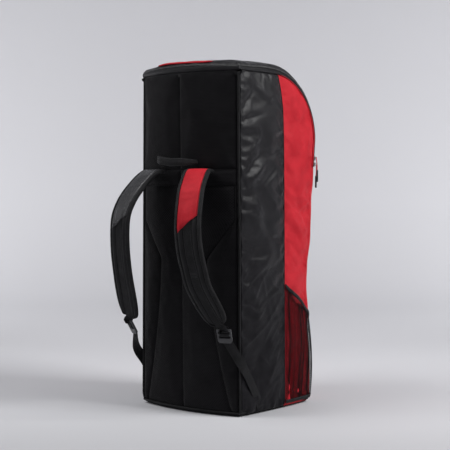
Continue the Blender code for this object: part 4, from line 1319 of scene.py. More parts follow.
# The grab handle: a length of wide webbing folded over foam and stitched, with its ends sewn into
# the yoke seam. It lies across the tops of both shoulder straps.
HANDLE_HALF = 0.060
HANDLE_REACH = 0.034
HANDLE_HEIGHT = 0.028
HANDLE_Z = 0.655
HANDLE_DROOP = 0.0022
HANDLE_STAND_OFF = 0.004
HANDLE_LEAN = 0.0080
HANDLE_STEPS = 64
UP = Vector((0.0, 0.0, 1.0))
handle_spots = []
for i in range(HANDLE_STEPS + 1):
    turn = math.pi * i / HANDLE_STEPS
    x = HANDLE_HALF * math.cos(turn)
    bow = HANDLE_REACH * math.sin(turn) ** (1.7 if x > 0.0 else 0.7) * (1.0 - 0.2 * math.cos(turn))
    droop = HANDLE_DROOP * math.sin(turn) + 0.0006 * noise.noise(Vector((x * 60.0, 0.0, 3.0)))
    lean = -HANDLE_LEAN * min(x / HANDLE_HALF + 0.5, 0.55)
    y = back_y(x, HANDLE_Z) - HANDLE_STAND_OFF - bow
    handle_spots.append(Vector((x, y, HANDLE_Z - droop + lean)))


def handle_section(i):
    """A padded roll in the middle that flattens to plain webbing at the sewn ends. The right end
    is folded narrow."""
    padded_from, end_width = (0.40, 0.36) if i < HANDLE_STEPS / 2 else (0.30, 0.60)
    middle = smooth(0.06, padded_from, min(i, HANDLE_STEPS - i) / HANDLE_STEPS)
    tall = HANDLE_HEIGHT / 2 * lerp(end_width, 0.78, middle)
    deep = lerp(0.0017, 0.0046, middle)
    outline = []
    for k in range(28):
        angle = 2 * math.pi * k / 28
        a, b = math.cos(angle), math.sin(angle)
        a, b = math.copysign(abs(a) ** 0.6, a), math.copysign(abs(b) ** 0.75, b)
        seam = 0.0007 * middle * math.exp(-(((abs(a) - 0.62) / 0.10) ** 2))
        outline.append((tall * a, math.copysign(max(0.0002, deep * abs(b) - seam), b)))
    return outline


handle = swept("grab_handle_webbing", handle_spots, [UP] * len(handle_spots), handle_section)
dress(handle, WEBBING, "grab_handle", "black_webbing", "grab_handle")
handle_rows = []
for level in (-0.0082, 0.0082):
    handle_rows.append([spot + Vector((0.0, -0.004, level)) for spot in handle_spots[8:-8]])
stitched("stitches_handle", handle_rows, handle, "grab_handle")

# The shoulder straps: foam pads with air mesh underneath and nylon on the outside, bound round the
# edge with tape. A colour panel covers the upper part as far as a slanting seam; below it webbing
# is sewn down the middle, and runs off the tip to the ladder lock.
STRAP_ROUTE = [
    Vector((0.073, -0.1850, 0.6250)),
    Vector((0.079, -0.2050, 0.6240)),
    Vector((0.088, -0.2260, 0.6080)),
    Vector((0.098, -0.2500, 0.5800)),
    Vector((0.108, -0.2680, 0.5500)),
    Vector((0.115, -0.2810, 0.5150)),
    Vector((0.117, -0.2850, 0.4770)),
    Vector((0.120, -0.2810, 0.4270)),
    Vector((0.124, -0.2720, 0.3850)),
    Vector((0.128, -0.2600, 0.3420)),
    Vector((0.137, -0.2420, 0.3030)),
    Vector((0.149, -0.2200, 0.2620)),
    Vector((0.156, -0.2060, 0.2400)),
]
STRAP_HALF_WIDTH = 0.0375
STRAP_TIP_HALF_WIDTH = 0.020
STRAP_TWIST = math.radians(9)
STRAP_FACE = 0.0058
STRAP_RIM = 0.0022
WEB_HALF = 0.0122
WEB_THICK = 0.0016
COLOUR_CUT = 0.465
COLOUR_SLANT = 0.045
TACK_AT = 0.70
BINDING_WIDTH = 0.0092
CHANNEL_END = 0.955
LOCK_SIZE = Vector((0.038, 0.0055, 0.034))
LOCK_SPOT = Vector((0.1615, -0.1965, 0.2150))
LOCK_TURN = math.radians(24)
LOCK_TILT = math.radians(28)
LOCK_SLOTS = ((-0.0090, -0.0025), (0.0045, 0.0110))
LOCK_SLOT_WIDTH = 0.0308
TOP_BAR = [
    (-0.0042, 0.0165),
    (-0.0040, 0.0140),
    (-0.0026, 0.0095),
    (0.0006, 0.0078),
    (0.0032, 0.0100),
    (0.0040, 0.0140),
    (0.0036, 0.0190),
    (0.0034, 0.0240),
]
LOWER_BARS = [
    (0.0040, -0.0020),
    (0.0034, 0.0040),
    (0.0004, 0.0075),
    (-0.0034, 0.0050),
    (-0.0040, 0.0008),
    (-0.0026, -0.0034),
    (0.0006, -0.0060),
    (0.0036, -0.0090),
    (0.0042, -0.0140),
]
ADJUSTER_ROUTE = [
    Vector((0.1680, -0.1885, 0.1925)),
    Vector((0.1765, -0.1600, 0.1520)),
    Vector((0.1790, -0.1300, 0.1120)),
    Vector((0.1790, -0.1020, 0.0700)),
    Vector((0.1775, -0.0800, 0.0350)),
    Vector((0.1765, -0.0700, 0.0170)),
]


def strap_frame(side, t):
    """A strap's middle line at t, from root to tip, with its width, length and outward directions."""
    middle, before, after = [
        through(STRAP_ROUTE, min(1.0, max(0.0, at))) for at in (t, t - 0.012, t + 0.012)
    ]
    ahead = (after - before).normalized()
    wide = Vector((math.cos(STRAP_TWIST), math.sin(STRAP_TWIST), 0.0))
    wide = (wide - ahead * wide.dot(ahead)).normalized()
    out = ahead.cross(wide)
    return [Vector((part.x * side, part.y, part.z)) for part in (middle, wide, ahead, out)]


def strap_half(t):
    taper = lerp(STRAP_HALF_WIDTH, STRAP_TIP_HALF_WIDTH, max(0.0, (t - 0.84) / 0.16) ** 2)
    rounding = max(0.0, (t - 0.965) / 0.035)
    return taper * math.sqrt(max(0.05, 1.0 - rounding**2))


def strap_rise(side, across, t):
    """How high the outer face stands off the middle line: crowned foam, a channel under the
    webbing, a dip at the slanting seam and small creases."""
    edge = min(1.0, abs(across) / strap_half(t))
    crown = STRAP_RIM + (STRAP_FACE - STRAP_RIM) * (1.0 - edge**3.2) ** 0.7
    below = smooth(COLOUR_CUT - 0.02, COLOUR_CUT + 0.02, t)
    channel = 0.0038 * below * math.exp(-((across / 0.0150) ** 6))
    rolls = 0.0020 * below * math.exp(-(((abs(across) - 0.0205) / 0.0042) ** 2))
    rolls -= 0.0022 * math.exp(-(((strap_half(t) - abs(across) - BINDING_WIDTH) / 0.0014) ** 2))
    seam = COLOUR_CUT - COLOUR_SLANT * across / STRAP_HALF_WIDTH
    dip = 0.0012 * math.exp(-(((t - seam) / 0.006) ** 2))
    crease = 0.0010 * noise.noise(Vector((across * 30.0, side * 5.0, t * 34.0))) * (1.0 - edge**2)
    pinch = 0.0006 * noise.noise(Vector((side * 3.0, across * 20.0, t * 120.0))) * edge**2
    return crown - channel + rolls - dip + crease + pinch


def on_strap(side, across, t, rise):
    middle, wide, ahead, out = strap_frame(side, t)
    return middle + wide * across + out * rise


def strap_sheet(name, side, low, high, columns, rows, rise, core, margin=0.0):
    def point(u, v):
        t = lerp(low(u), high(u), v)
        across = lerp(-1.0, 1.0, u) * (strap_half(t) - margin)
        return on_strap(side, across, t, rise(across, t))

    return cut_panel(name, point, steps(columns, 0.4), steps(rows), None, core)


def web_section(_):
    """Flat webbing with rounded edges."""
    rounded, edge, half = WEB_HALF * 0.93, WEB_THICK * 0.28, WEB_THICK / 2
    return [(-WEB_HALF, -edge), (-rounded, -half), (rounded, -half), (WEB_HALF, -edge),
            (WEB_HALF, edge), (rounded, half), (-rounded, half), (-WEB_HALF, edge)]


def beside_web(t):
    return WEB_HALF + 0.0012


def beside_binding(t):
    return strap_half(t) - BINDING_WIDTH - 0.0010


def toward_bag(point):
    """Stands outside the strap, so that a panel faces the bag."""
    return point + Vector((0.0, -1.0, 0.0))


def from_root(u):
    return 0.0


def to_tip(u):
    return 1.0


GLOSSY_PANEL = woven(
    "black_shiny_strap_panel", dark=(0.012, 0.012, 0.014), light=(0.022, 0.022, 0.025),
    pitch=0.0007, rough=(0.26, 0.36), sheen=0.1, specular=0.6, strength=0.2,
)
# A near-black matt cord: painted shadow for the quilted channels on the straps.
CHANNEL_SHADOW_STRIP = moulded("painted_channel_shadow", (0.0012, 0.0012, 0.0013), (0.0026, 0.0026, 0.0028), 0.90)
for label, side in (("right", 1), ("left", -1)):
    body = f"strap_{label}"

    def face_rise(across, t):
        return strap_rise(side, across, t)

    def under_rise(across, t):
        edge = min(1.0, abs(across) / strap_half(t))
        return -STRAP_RIM - 0.0030 * (1.0 - edge**3.0) ** 0.8

    face = strap_sheet(f"strap_face_{label}", side, from_root, to_tip, 26, 130, face_rise, bag_core)
    thicken(face, 0.0012)
    dress(face, STRAP_CLOTH, body, "black_nylon", f"strap_pad_{label}")
    under = strap_sheet(f"strap_mesh_{label}", side, from_root, to_tip, 18, 90, under_rise, toward_bag)
    thicken(under, 0.0016)
    dress(under, AIR_MESH, body, "black_air_mesh")

    def cut_end(u):
        return COLOUR_CUT - COLOUR_SLANT * side * lerp(-1.0, 1.0, u)

    def panel_rise(across, t):
        """The panel lies over the face, and over the webbing where that starts under its seam."""
        over_web = smooth(COLOUR_CUT - 0.10, COLOUR_CUT - 0.06, t) * math.exp(-((across / 0.0145) ** 8))
        return strap_rise(side, across, t) + 0.0009 + 0.0021 * over_web

    colour = strap_sheet(
        f"strap_colour_{label}", side, from_root, cut_end, 40, 70, panel_rise, bag_core,
        BINDING_WIDTH - 0.0006,
    )
    thicken(colour, 0.0012)
    cloth, slot_name = (RED_CLOTH, "red_polyester") if side > 0 else (GLOSSY_PANEL, "black_nylon")
    dress(colour, cloth, body, slot_name, f"strap_panel_{label}")

    route_middle = [strap_frame(side, i / 60)[0] for i in range(61)]

    def strap_core(point):
        return min(route_middle, key=lambda spot: (spot - point).length_squared)

    bindings = {}
    for edge_name, edge_side in (("outer", side), ("inner", -side)):

        def binding_point(u, v):
            """Folded over the edge: from the outer face, round the foam's edge, to the underside."""
            half = strap_half(u)
            if v < 0.42:
                across = half - lerp(BINDING_WIDTH, 0.0006, v / 0.42)
                bulge = 0.0012 * math.sin(math.pi * v / 0.42) ** 0.5
                lift = face_rise(across, u) + 0.0004 + bulge
                return on_strap(side, edge_side * max(0.0, across), u, lift)
            if v < 0.58:
                turn = math.pi * (v - 0.42) / 0.16
                lift = (STRAP_RIM + 0.0012) * math.cos(turn)
                return on_strap(side, edge_side * (half + 0.0012 * math.sin(turn)), u, lift)
            across = half - lerp(0.0006, BINDING_WIDTH * 0.8, (v - 0.58) / 0.42)
            return on_strap(side, edge_side * max(0.0, across), u, under_rise(across, u) - 0.0012)

        tape = cut_panel(
            f"strap_binding_{edge_name}_{label}", binding_point, steps(110), steps(19), None, strap_core
        )
        thicken(tape, 0.0009)
        bindings[edge_side] = dress(tape, BINDING, body, "black_webbing")

    # The ladder lock: a moulded frame with two slots and a lifting tongue below.
    lock_place = Matrix.Translation((side * LOCK_SPOT.x, LOCK_SPOT.y, LOCK_SPOT.z))
    lock_place = lock_place @ Matrix.Rotation(side * LOCK_TURN, 4, "Z") @ Matrix.Rotation(LOCK_TILT, 4, "X")
    bpy.ops.object.select_all(action="DESELECT")
    bpy.ops.mesh.primitive_cube_add(size=1.0)
    lock = bpy.context.active_object
    lock.scale = LOCK_SIZE
    seat_mesh(lock)
    for low_z, high_z in LOCK_SLOTS:
        bpy.ops.object.select_all(action="DESELECT")
        bpy.ops.mesh.primitive_cube_add(size=1.0, location=(0.0, 0.0, (low_z + high_z) / 2))
        slot_cutter = bpy.context.active_object
        slot_cutter.scale = (LOCK_SLOT_WIDTH, 0.02, high_z - low_z)
        seat_mesh(slot_cutter)
        bevel_all(slot_cutter, 0.0012, 2)
        cut = lock.modifiers.new("slot", "BOOLEAN")
        cut.operation = "DIFFERENCE"
        cut.object = slot_cutter
        apply(lock, cut)
        bpy.data.objects.remove(slot_cutter, do_unlink=True)
    pick_faces(lock, lambda centre, normal: normal.z < -0.9 and centre.z < -0.016)
    bpy.ops.mesh.extrude_region_move(TRANSFORM_OT_translate={"value": (0.0, -0.0022, -0.0060)})
    bpy.ops.transform.resize(value=(0.78, 0.62, 1.0))
    bpy.ops.object.mode_set(mode="OBJECT")
    bevel_all(lock, 0.0010, 3)
    lock.data.transform(lock_place)
    lock.name = f"strap_ladder_lock_{label}"
    lock.data.name = lock.name
    dress(lock, PLASTIC, body, "buckle_plastic", f"ladder_lock_{label}")

    # The webbing from the slanting seam, down the channel, over the lock's top bar and back.
    web_spots, web_wides = [], []
    for i in range(64):
        t = lerp(COLOUR_CUT - 0.05, 1.0, i / 63)
        middle, wide, _, out = strap_frame(side, t)
        web_rise = strap_rise(side, 0.0, min(t, 0.985)) + WEB_THICK / 2 + 0.0002
        web_spots.append(middle + out * web_rise)
        web_wides.append(wide)
    lock_wide = lock_place.to_3x3() @ Vector((1.0, 0.0, 0.0))
    bridge = [web_spots[-1]] + [lock_place @ Vector((0.0, y, z)) for y, z in TOP_BAR]
    web_spots += [through(bridge, i / 40) for i in range(1, 41)]
    web_wides += [web_wides[63].lerp(lock_wide, min(1.0, i / 8)) for i in range(1, 41)]

    web = swept(f"strap_web_{label}", web_spots, web_wides, web_section)
    dress(web, WEBBING, body, "black_webbing", f"strap_webbing_{label}")

    # Thin dark cords are laid in the quilted channels beside the webbing and the bindings: painted shadow
    # that stands for the shade in those grooves.
    for line_name, place_of in (("channel", beside_web), ("edge", beside_binding)):
        for edge_name, edge_side in (("outer", side), ("inner", -side)):
            line_spots, line_wides = [], []
            slant = COLOUR_SLANT * edge_side * side * place_of(0.5) / STRAP_HALF_WIDTH
            for i in range(90):
                t = lerp(COLOUR_CUT - slant + 0.004, CHANNEL_END, i / 89)
                across = edge_side * place_of(t)
                line_spots.append(on_strap(side, across, t, face_rise(across, t) + 0.0003))
                line_wides.append(strap_frame(side, t)[1])
            name = f"strap_{line_name}_{edge_name}_{label}"
            line = swept(name, line_spots, line_wides, lambda _: ring_of(0.0010, 8))
            dress(line, CHANNEL_SHADOW_STRIP, body, "black_webbing")

    rows = []
    for across in (-WEB_HALF + 0.0022, WEB_HALF - 0.0022):
        rows.append([on_strap(side, across, lerp(0.50, 0.97, i / 80), 0.0055) for i in range(81)])
    for at in (TACK_AT - 0.010, TACK_AT - 0.004, TACK_AT + 0.004, TACK_AT + 0.010):
        tack = [lerp(-1, 1, i / 6) * (WEB_HALF - 0.0024) for i in range(7)]
        rows.append([on_strap(side, across, at, 0.0055) for across in tack])
    stitched(f"stitches_strap_web_{label}", rows, web, body)
    for edge_name, edge_side in (("outer", 1), ("inner", -1)):
        row = []
        for i in range(104):
            t = i / 110
            row.append(on_strap(side, edge_side * (strap_half(t) - 0.0066), t, 0.006))
        stitched(f"stitches_strap_edge_{edge_name}_{label}", [row], bindings[edge_side], body)
    seam_row = []
    for i in range(31):
        across = lerp(-0.92, 0.92, i / 30) * STRAP_HALF_WIDTH
        t = cut_end(0.5 + 0.5 * across / STRAP_HALF_WIDTH) - 0.006
        seam_row.append(on_strap(side, across, t, 0.006))
    thread = RED_THREAD if side > 0 else THREAD
    stitched(f"stitches_strap_seam_{label}", [seam_row], colour, body, thread=thread)

    # The adjusting webbing threads the lock's lower bars, runs down round the bag's back corner
    # and is sewn into the side's foot seam.
    threaded = [lock_place @ Vector((0.0, y, z)) for y, z in LOWER_BARS]
    down = [Vector((p.x * side, p.y, p.z)) for p in ADJUSTER_ROUTE]
    path = [through(threaded, i / 40) for i in range(40)]
    fall = [threaded[-1]] + down[1:]
    path += [through(fall, i / 70) for i in range(71)]
    flat_on_side = Vector((0.05, side * 0.86, side * 0.50)) * side
    wides = [lock_wide] * 40
    wides += [lock_wide.lerp(flat_on_side, smooth(0.0, 0.45, i / 70)) for i in range(71)]
    adjuster = swept(f"adjuster_web_{label}", path, wides, web_section)
    adjuster.data.materials.append(WEBBING)
    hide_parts(f"adjuster_webbing_{label}")
    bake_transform(adjuster)

# The net pockets: hexagonal net, cut full and gathered into an elastic binding that slopes down to
# the front, with a tape hem along the foot.
POCKET_FOOT = 0.020
POCKET_TOP = 0.322
POCKET_SLOPE = 0.72
POCKET_STAND_OFF = 0.003
POCKET_BULGE = 0.011
POCKET_MOUTH = 0.008
POCKET_LENGTH = front_edge_y(0.2) - PIPING_Y + SHOULDER * math.pi / 2 - 0.004
NET_CELL = 0.0036
NET_START = 0.0012
GATHERS = [
    (0.018, 0.0050, 0.75),
    (0.036, 0.0060, 0.45),
    (0.060, 0.0065, 0.85),
    (0.076, 0.0060, 0.70),
    (0.104, 0.0070, 0.75),
    (0.128, 0.0060, 0.60),
]


def pocket_spot(reach, z, side, stand_off):
    """A point off the red side, reach from the piping, over the flat and round the corner."""
    flat = front_edge_y(z) - piping_y(z)
    if reach <= flat:
        y = piping_y(z) + reach
        return Vector((side * (side_x(y, z) + stand_off), y, z))
    turn = (reach - flat) / SHOULDER
    radius = SHOULDER + stand_off
    x = half_width(z) - SHOULDER + radius * math.cos(turn)
    return Vector((side * x, front_edge_y(z) + radius * math.sin(turn), z))


def pocket_rim(reach):
    return POCKET_TOP - POCKET_SLOPE * reach


def pocket_gape(u):
    return POCKET_STAND_OFF + POCKET_MOUTH * math.sin(math.pi * min(1.0, u * 1.3)) ** 2


def gathered(reach, z):
    """Net drawn together along upright folds, most of all near the elastic."""
    shift = 0.0
    for middle, width, pull in GATHERS:
        sway = 0.004 * noise.noise(Vector((middle * 50.0, 0.0, z * 9.0)))
        off = reach - middle - sway
        shift -= off * pull * math.exp(-((off / (2.2 * width)) ** 2))
    ends = smooth(0.0, 0.008, reach) * smooth(0.0, 0.008, POCKET_LENGTH - reach)
    return reach + shift * ends


def net_spot(u, v, side):
    plain = lerp(NET_START, POCKET_LENGTH, u)
    z = lerp(POCKET_FOOT, pocket_rim(plain), v)
    reach = gathered(plain, z)
    along = math.sin(math.pi * min(1.0, u * 1.15) ** 1.2) ** 0.5 if 0 < u * 1.15 < 1 else 0.0
    up = math.sin(math.pi * v**1.15)
    swell = POCKET_BULGE * max(along, 0.55) * max(0.0, up)
    fold = 0.0
    for middle, width, pull in GATHERS:
        fold -= 0.0050 * pull * math.exp(-(((reach - middle) / width) ** 2))
    fold += 0.0024 * noise.noise(Vector((reach * 60.0, side * 2.0, z * 8.0)))
    held = smooth(0.0, 0.10, min(v, 1.0 - v))
    edge = smooth(0.0, 0.05, u) * smooth(0.0, 0.04, 1.0 - u)
    stand = lerp(POCKET_STAND_OFF, pocket_gape(u), v) * lerp(0.4, 1.0, edge)
    return pocket_spot(reach, z, side, stand + (swell + fold * held) * lerp(0.15, 1.0, edge))


NET = woven(
    "black_net_thread", dark=(0.004, 0.004, 0.0045), light=(0.009, 0.009, 0.010),
    pitch=0.0005, rough=(0.60, 0.72), sheen=0.0, specular=0.10, strength=0.3,
)
STRAND_HALF = 0.00074
STRAND_RISE = 0.00045
strand_outline = ((-1.0, -0.6), (1.0, -0.6), (0.0, 1.0))
strand_corners = [(x, STRAND_HALF * a, STRAND_RISE * b) for x in (-0.5, 0.5) for a, b in strand_outline]
strand_faces = [(0, 1, 4, 3), (1, 2, 5, 4), (2, 0, 3, 5), (2, 1, 0), (3, 4, 5)]
for label, side in (("right", 1), ("left", -1)):
    rise = NET_CELL * 1.5 / math.sqrt(3.0)
    edge = NET_CELL / math.sqrt(3.0)
    tall = pocket_rim(0.0) - POCKET_FOOT
    net_edges = []
    for row in range(int(tall / rise) + 2):
        for column in range(int(POCKET_LENGTH / NET_CELL) + 2):
            x = (column + (0.5 if row % 2 else 0.0)) * NET_CELL
            z = row * rise
            low, high = (x, z - edge / 2), (x, z + edge / 2)
            net_edges.append((low, high))
            net_edges.append((high, (x + NET_CELL / 2, z + edge)))
            net_edges.append((high, (x - NET_CELL / 2, z + edge)))
    frames = []
    for ends in net_edges:
        spots = []
        for x, z in ends:
            u = (x - NET_START) / (POCKET_LENGTH - NET_START)
            height = pocket_rim(x) - POCKET_FOOT
            if 0.0 <= u <= 1.0 and 0.0 <= z <= height:
                spots.append(net_spot(u, z / height, side))
        if len(spots) == 2:
            run = spots[1] - spots[0]
            middle = (spots[0] + spots[1]) / 2
            out = (middle - Vector((0.0, middle.y * 0.6, middle.z))).normalized()
            aside = out.cross(run).normalized()
            frames.append((middle, run * 1.06, aside, run.cross(aside).normalized()))
    net = repeated(f"pocket_net_{label}", (strand_corners, strand_faces), frames)
    dress(net, NET, "bag", "black_net", f"mesh_pocket_{label}")

    def elastic_point(u, v):
        reach = lerp(0.002, POCKET_LENGTH + 0.001, u)
        ruffle = 0.0009 * noise.noise(Vector((reach * 160.0, side * 2.0, v * 0.6)))
        z = pocket_rim(reach) - 0.0015 + 0.0100 * v
        return pocket_spot(reach, z, side, pocket_gape(u) + 0.0010 * math.sin(math.pi * v) + ruffle)

    elastic = cut_panel(f"pocket_elastic_binding_{label}", elastic_point, steps(130), steps(7))
    thicken(elastic, 0.0026, 0.0)
    dress(elastic, BINDING, "bag", "black_webbing", f"pocket_elastic_{label}")

    def hem_point(u, v):
        reach = lerp(0.002, POCKET_LENGTH + 0.001, u)
        ruffle = 0.0005 * noise.noise(Vector((reach * 120.0, side * 2.0, v)))
        z = POCKET_FOOT - 0.0075 + 0.0095 * v
        return pocket_spot(reach, z, side, POCKET_STAND_OFF + 0.0008 + ruffle)

    hem = cut_panel(f"pocket_hem_tape_{label}", hem_point, steps(90), steps(5))
    thicken(hem, 0.0022, -0.6)
    dress(hem, BINDING, "bag", "black_webbing", f"pocket_hem_{label}")
    rows = [[elastic_point(i / 120, v) for i in range(121)] for v in (0.14, 0.86)]
    stitched(f"stitches_elastic_{label}", rows, elastic, "bag")
    rows = [[hem_point(i / 120, v) for i in range(121)] for v in (0.2, 0.8)]
    stitched(f"stitches_hem_{label}", rows, hem, "bag")

# The front pocket: a flat nylon box of cloth with a boxed edge, a zip across its top and a welt
# round its face.
POCKET_HALF = 0.105
POCKET_LOW = 0.075
POCKET_HIGH = 0.470
POCKET_DEPTH = 0.022
ZIP_HEIGHT = 0.436
ZIP_HALF = 0.088
FACE_HALF = 0.075
FACE_HALF_HEIGHT = 0.1675
FACE_CORNER = 0.022


def on_front(x, z):
    flat = half_width(z) - SHOULDER
    return front_edge_y(z) + SHOULDER + FRONT_CROWN * (1.0 - (x / flat) ** 2)


def pocket_face(x, z):
    edge_x = 1.0 - abs(x / POCKET_HALF) ** 12
    edge_z = 1.0 - abs(2 * (z - POCKET_LOW) / (POCKET_HIGH - POCKET_LOW) - 1) ** 10
    full = max(0.0, edge_x * edge_z) ** 0.5
    return lerp(on_front(x, z), on_front(0.0, z) + POCKET_DEPTH, full) + 0.001 + 0.002 * full


def box_pocket_point(u, v):
    x = POCKET_HALF * math.sin(math.pi / 2 * lerp(-1, 1, u))
    z = lerp(POCKET_LOW, POCKET_HIGH, 0.5 + 0.5 * math.sin(math.pi / 2 * lerp(-1, 1, v)))
    return Vector((x, pocket_face(x, z), z))


def box_pocket_lift(u, v, spot):
    to_edge = max(0.0, min(POCKET_HALF - abs(spot.x), spot.z - POCKET_LOW, POCKET_HIGH - spot.z))
    held = smooth(0.004, 0.03, to_edge) * smooth(0.004, 0.02, abs(spot.z - ZIP_HEIGHT))
    broad = 0.0040 * noise.noise(Vector((spot.x * 14.0, 5.0, spot.z * 9.0)))
    small = 0.0016 * noise.noise(Vector((spot.x * 44.0, 8.0, spot.z * 34.0)))
    return held * (broad + small)


box_pocket = cut_panel("front_pocket_cloth", box_pocket_point, steps(60), steps(100), box_pocket_lift)
refine(box_pocket)
thicken(box_pocket, 0.0018)
dress(box_pocket, BLACK_CLOTH, "bag", "black_nylon", "front_pocket")
zip_face = on_front(0.0, ZIP_HEIGHT) + 0.003 + POCKET_DEPTH


def front_tape_point(u, v):
    x = lerp(-ZIP_HALF, ZIP_HALF, u)
    return Vector((x, zip_face + 0.0012, ZIP_HEIGHT + lerp(-0.0085, 0.0085, v)))


def front_tape_lift(u, v, spot):
    return 0.0012 * smooth(0.0, 0.3, min(v, 1.0 - v)) - 0.0008


front_tape = cut_panel("front_zip_tape", front_tape_point, steps(60), steps(8), front_tape_lift)
thicken(front_tape, 0.0012)
dress(front_tape, BINDING, "bag", "black_webbing", "front_pocket_zip")
tooth_frames = []
for half in (-1, 1):
    line = [Vector((end * (ZIP_HALF - 0.002), zip_face + 0.0026, ZIP_HEIGHT)) for end in (-1, 1)]
    for spot, ahead in stations(line, COIL_PITCH):
        rise = Vector((0.0, 0.0, half * COIL_SHIFT)) + ahead * COIL_PITCH * 0.25 * half
        tooth_frames.append((spot + rise, UP, Vector((1, 0, 0)), FORWARD))
dress(repeated("front_zip_coil", TOOTH, tooth_frames), COIL_NYLON, "bag", "black_webbing")
rows = [[front_tape_point(i / 60, v) for i in range(61)] for v in (0.10, 0.90)]
stitched("stitches_front_zip", rows, front_tape, "bag")
make_slider("front_zip_slider", "front_pocket_slider", math.pi, True, "front_slider")
make_pull("front", FORWARD, "front_pull", "front_pocket_pull")
welt_line = []
for corner_x, corner_z, start in ((1, 1, 0), (-1, 1, 90), (-1, -1, 180), (1, -1, 270)):
    for i in range(9):
        angle = math.radians(start + 90 * i / 8)
        x = corner_x * FACE_HALF + FACE_CORNER * math.cos(angle)
        z = (POCKET_LOW + POCKET_HIGH) / 2 + corner_z * FACE_HALF_HEIGHT + FACE_CORNER * math.sin(angle)
        welt_line.append((x, z))
welt_line.append(welt_line[0])
welt_spots = []
for (x, z), (next_x, next_z) in zip(welt_line, welt_line[1:]):
    count = max(1, round(math.hypot(next_x - x, next_z - z) / 0.005))
    for i in range(count):
        spot_x, spot_z = lerp(x, next_x, i / count), lerp(z, next_z, i / count)
        welt_spots.append(Vector((spot_x, pocket_face(spot_x, spot_z) + 0.0004, spot_z)))
welt_spots.append(welt_spots[0])
face_welt = swept("front_pocket_welt", welt_spots, [FORWARD] * len(welt_spots), lambda _: ring_of(0.0015, 10))
dress(face_welt, BINDING, "bag", "black_webbing")


# The base: coated nylon turned up round a stiff board, with a taped seam where it meets the walls.
def outline_at(z, inset):
    """The bag's outline from above, round once from the middle of the back."""
    half, reach = half_width(z) - inset, SHOULDER - inset
    front = front_edge_y(z)
    right = [Vector((half * i / 12, back_y(half_width(z) * i / 12, z) + inset, z)) for i in range(13)]
    right += [Vector((half, lerp(right[-1].y, front, i / 8), z)) for i in range(1, 8)]
    for i in range(9):
        turn = math.pi / 2 * i / 8
        right.append(Vector((half - reach + reach * math.cos(turn), front + reach * math.sin(turn), z)))
    for i in range(1, 8):
        x = (half - reach) * (1 - i / 8)
        right.append(Vector((x, front + reach + FRONT_CROWN * (1.0 - (x / (half - reach)) ** 2), z)))
    middle = Vector((0.0, front + reach + FRONT_CROWN, z))
    return right + [middle] + [Vector((-p.x, p.y, z)) for p in reversed(right[1:])]


BASE_LEVELS = [
    (0.0, 0.10),
    (0.0, 0.030),
    (0.0, 0.008),
    (0.0012, 0.0035),
    (0.0034, 0.0015),
    (0.0066, 0.0006),
    (0.0098, 0.0004),
]
INMOST_RING = 0.0235


def base_point(u, v):
    at = v * (len(BASE_LEVELS) - 1)
    i = min(int(at), len(BASE_LEVELS) - 2)
    height = lerp(BASE_LEVELS[i][0], BASE_LEVELS[i + 1][0], at - i)
    inset = lerp(BASE_LEVELS[i][1], BASE_LEVELS[i + 1][1], at - i)
    ring = outline_at(height, min(inset, INMOST_RING))
    place = ring[round(u * len(ring)) % len(ring)]
    if inset > INMOST_RING:
        to_middle = (inset - INMOST_RING) / (BASE_LEVELS[0][1] - INMOST_RING)
        place = place.lerp(Vector((0.0, 0.0, 0.0)), min(1.0, to_middle))
    return place


base_count = len(outline_at(0.0, 0.001))
above_base = Vector((0.0, 0.0, 0.05))
base = cut_panel("base_cloth", base_point, steps(base_count), steps(18), None, lambda _: above_base)
mend = bmesh.new()
mend.from_mesh(base.data)
bmesh.ops.remove_doubles(mend, verts=mend.verts, dist=0.00002)
mend.to_mesh(base.data)
mend.free()
thicken(base, 0.0020)
dress(base, BLACK_CLOTH, "bag", "black_nylon", "base_panel")
foot_ring = outline_at(FOOT, -0.0002)
foot_ring.append(foot_ring[0])
welt_outline = [(a * 1.5, b * 0.8) for a, b in ring_of(0.0016, 10)]
foot_welt = swept("foot_welt", foot_ring, [UP] * len(foot_ring), lambda _: welt_outline)
dress(foot_welt, BINDING, "bag", "black_webbing")

# Inside: a grey lining on every wall and the floor, and the boards that it covers.
BOARD = moulded("stiff_board", (0.030, 0.030, 0.032), (0.06, 0.06, 0.062), 0.55, 300.0)
for node in ("base_board", "back_stiffener"):
    board = bpy.data.objects[node]
    board.data.materials.clear()
    board.data.materials.append(BOARD)


def facing_in(point):
    return point * 3.0


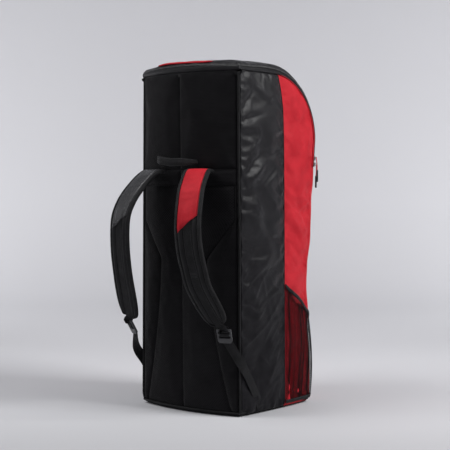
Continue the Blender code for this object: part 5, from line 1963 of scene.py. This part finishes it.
def ripple(u, v, spot):
    return 0.0020 * noise.noise(spot * 18.0) * smooth(0.0, 0.1, min(u, 1 - u, v, 1 - v))


def lining(name, point, columns, rows):
    piece = cut_panel(name, point, steps(columns), steps(rows), ripple, facing_in)
    thicken(piece, 0.0010)
    return dress(piece, LINING_CLOTH, "bag", "black_nylon")


def back_lining(u, v):
    z = lerp(0.016, SEAM_HEIGHT - 0.012, v)
    x = lerp(-1.0, 1.0, u) * (half_width(z) - 0.006)
    return Vector((x, back_y(x, z) + 0.018 * (1.0 - abs(x / half_width(z)) ** 6) + 0.004, z))


def floor_lining(u, v):
    x = lerp(-1.0, 1.0, u) * (half_width(0.016) - 0.007)
    return Vector((x, lerp(back_y(x, 0.016) + 0.016, front_edge_y(0.016) + 0.016, v), 0.0165))


lining("lining_back", back_lining, 20, 60)
lining("lining_floor", floor_lining, 20, 20)
for label, side in (("right", 1), ("left", -1)):

    def side_lining(u, v):
        y = lerp(BACK_Y + 0.012, CURVE_DEPTH - 0.004, u)
        z = lerp(0.016, side_top(y) - 0.006, v)
        near = min(y, front_edge_y(min(z, CURVE_Z)) - 0.002)
        return Vector((side * (side_x(near, z) - 0.0075), near, z))

    lining(f"lining_side_{label}", side_lining, 24, 60)


def front_lining(u, v):
    s = lerp(0.016, HINGE_Z - 0.004, v) / CURVE_Z
    spot = skin(lerp(-1.0, 1.0, u) * (wrap_half(s) - 0.012), s)
    inward = Vector((-spot.x * 0.03, -0.0065, 0.0))
    return spot + inward


lining("lining_front", front_lining, 30, 50)


def lid_lining_point(u, v):
    s = lid_s(v)
    half = lid_half(s) - 0.003
    spot = skin(lerp(half, -half, u), s)
    normal = side_edge(s)[1]
    inward = -Vector((0.0, normal.x, normal.y)) * 0.0048
    aside = -math.copysign(0.0024, spot.x) * abs(lerp(1, -1, u)) ** 4
    return spot + inward + Vector((aside, 0.0, 0.0))


lid_lining = cut_panel("lid_lining", lid_lining_point, steps(30, 0.3), steps(60, 0.1), ripple, facing_in)
thicken(lid_lining, 0.0010)
fold_with_lid(lid_lining, LINING_CLOTH)
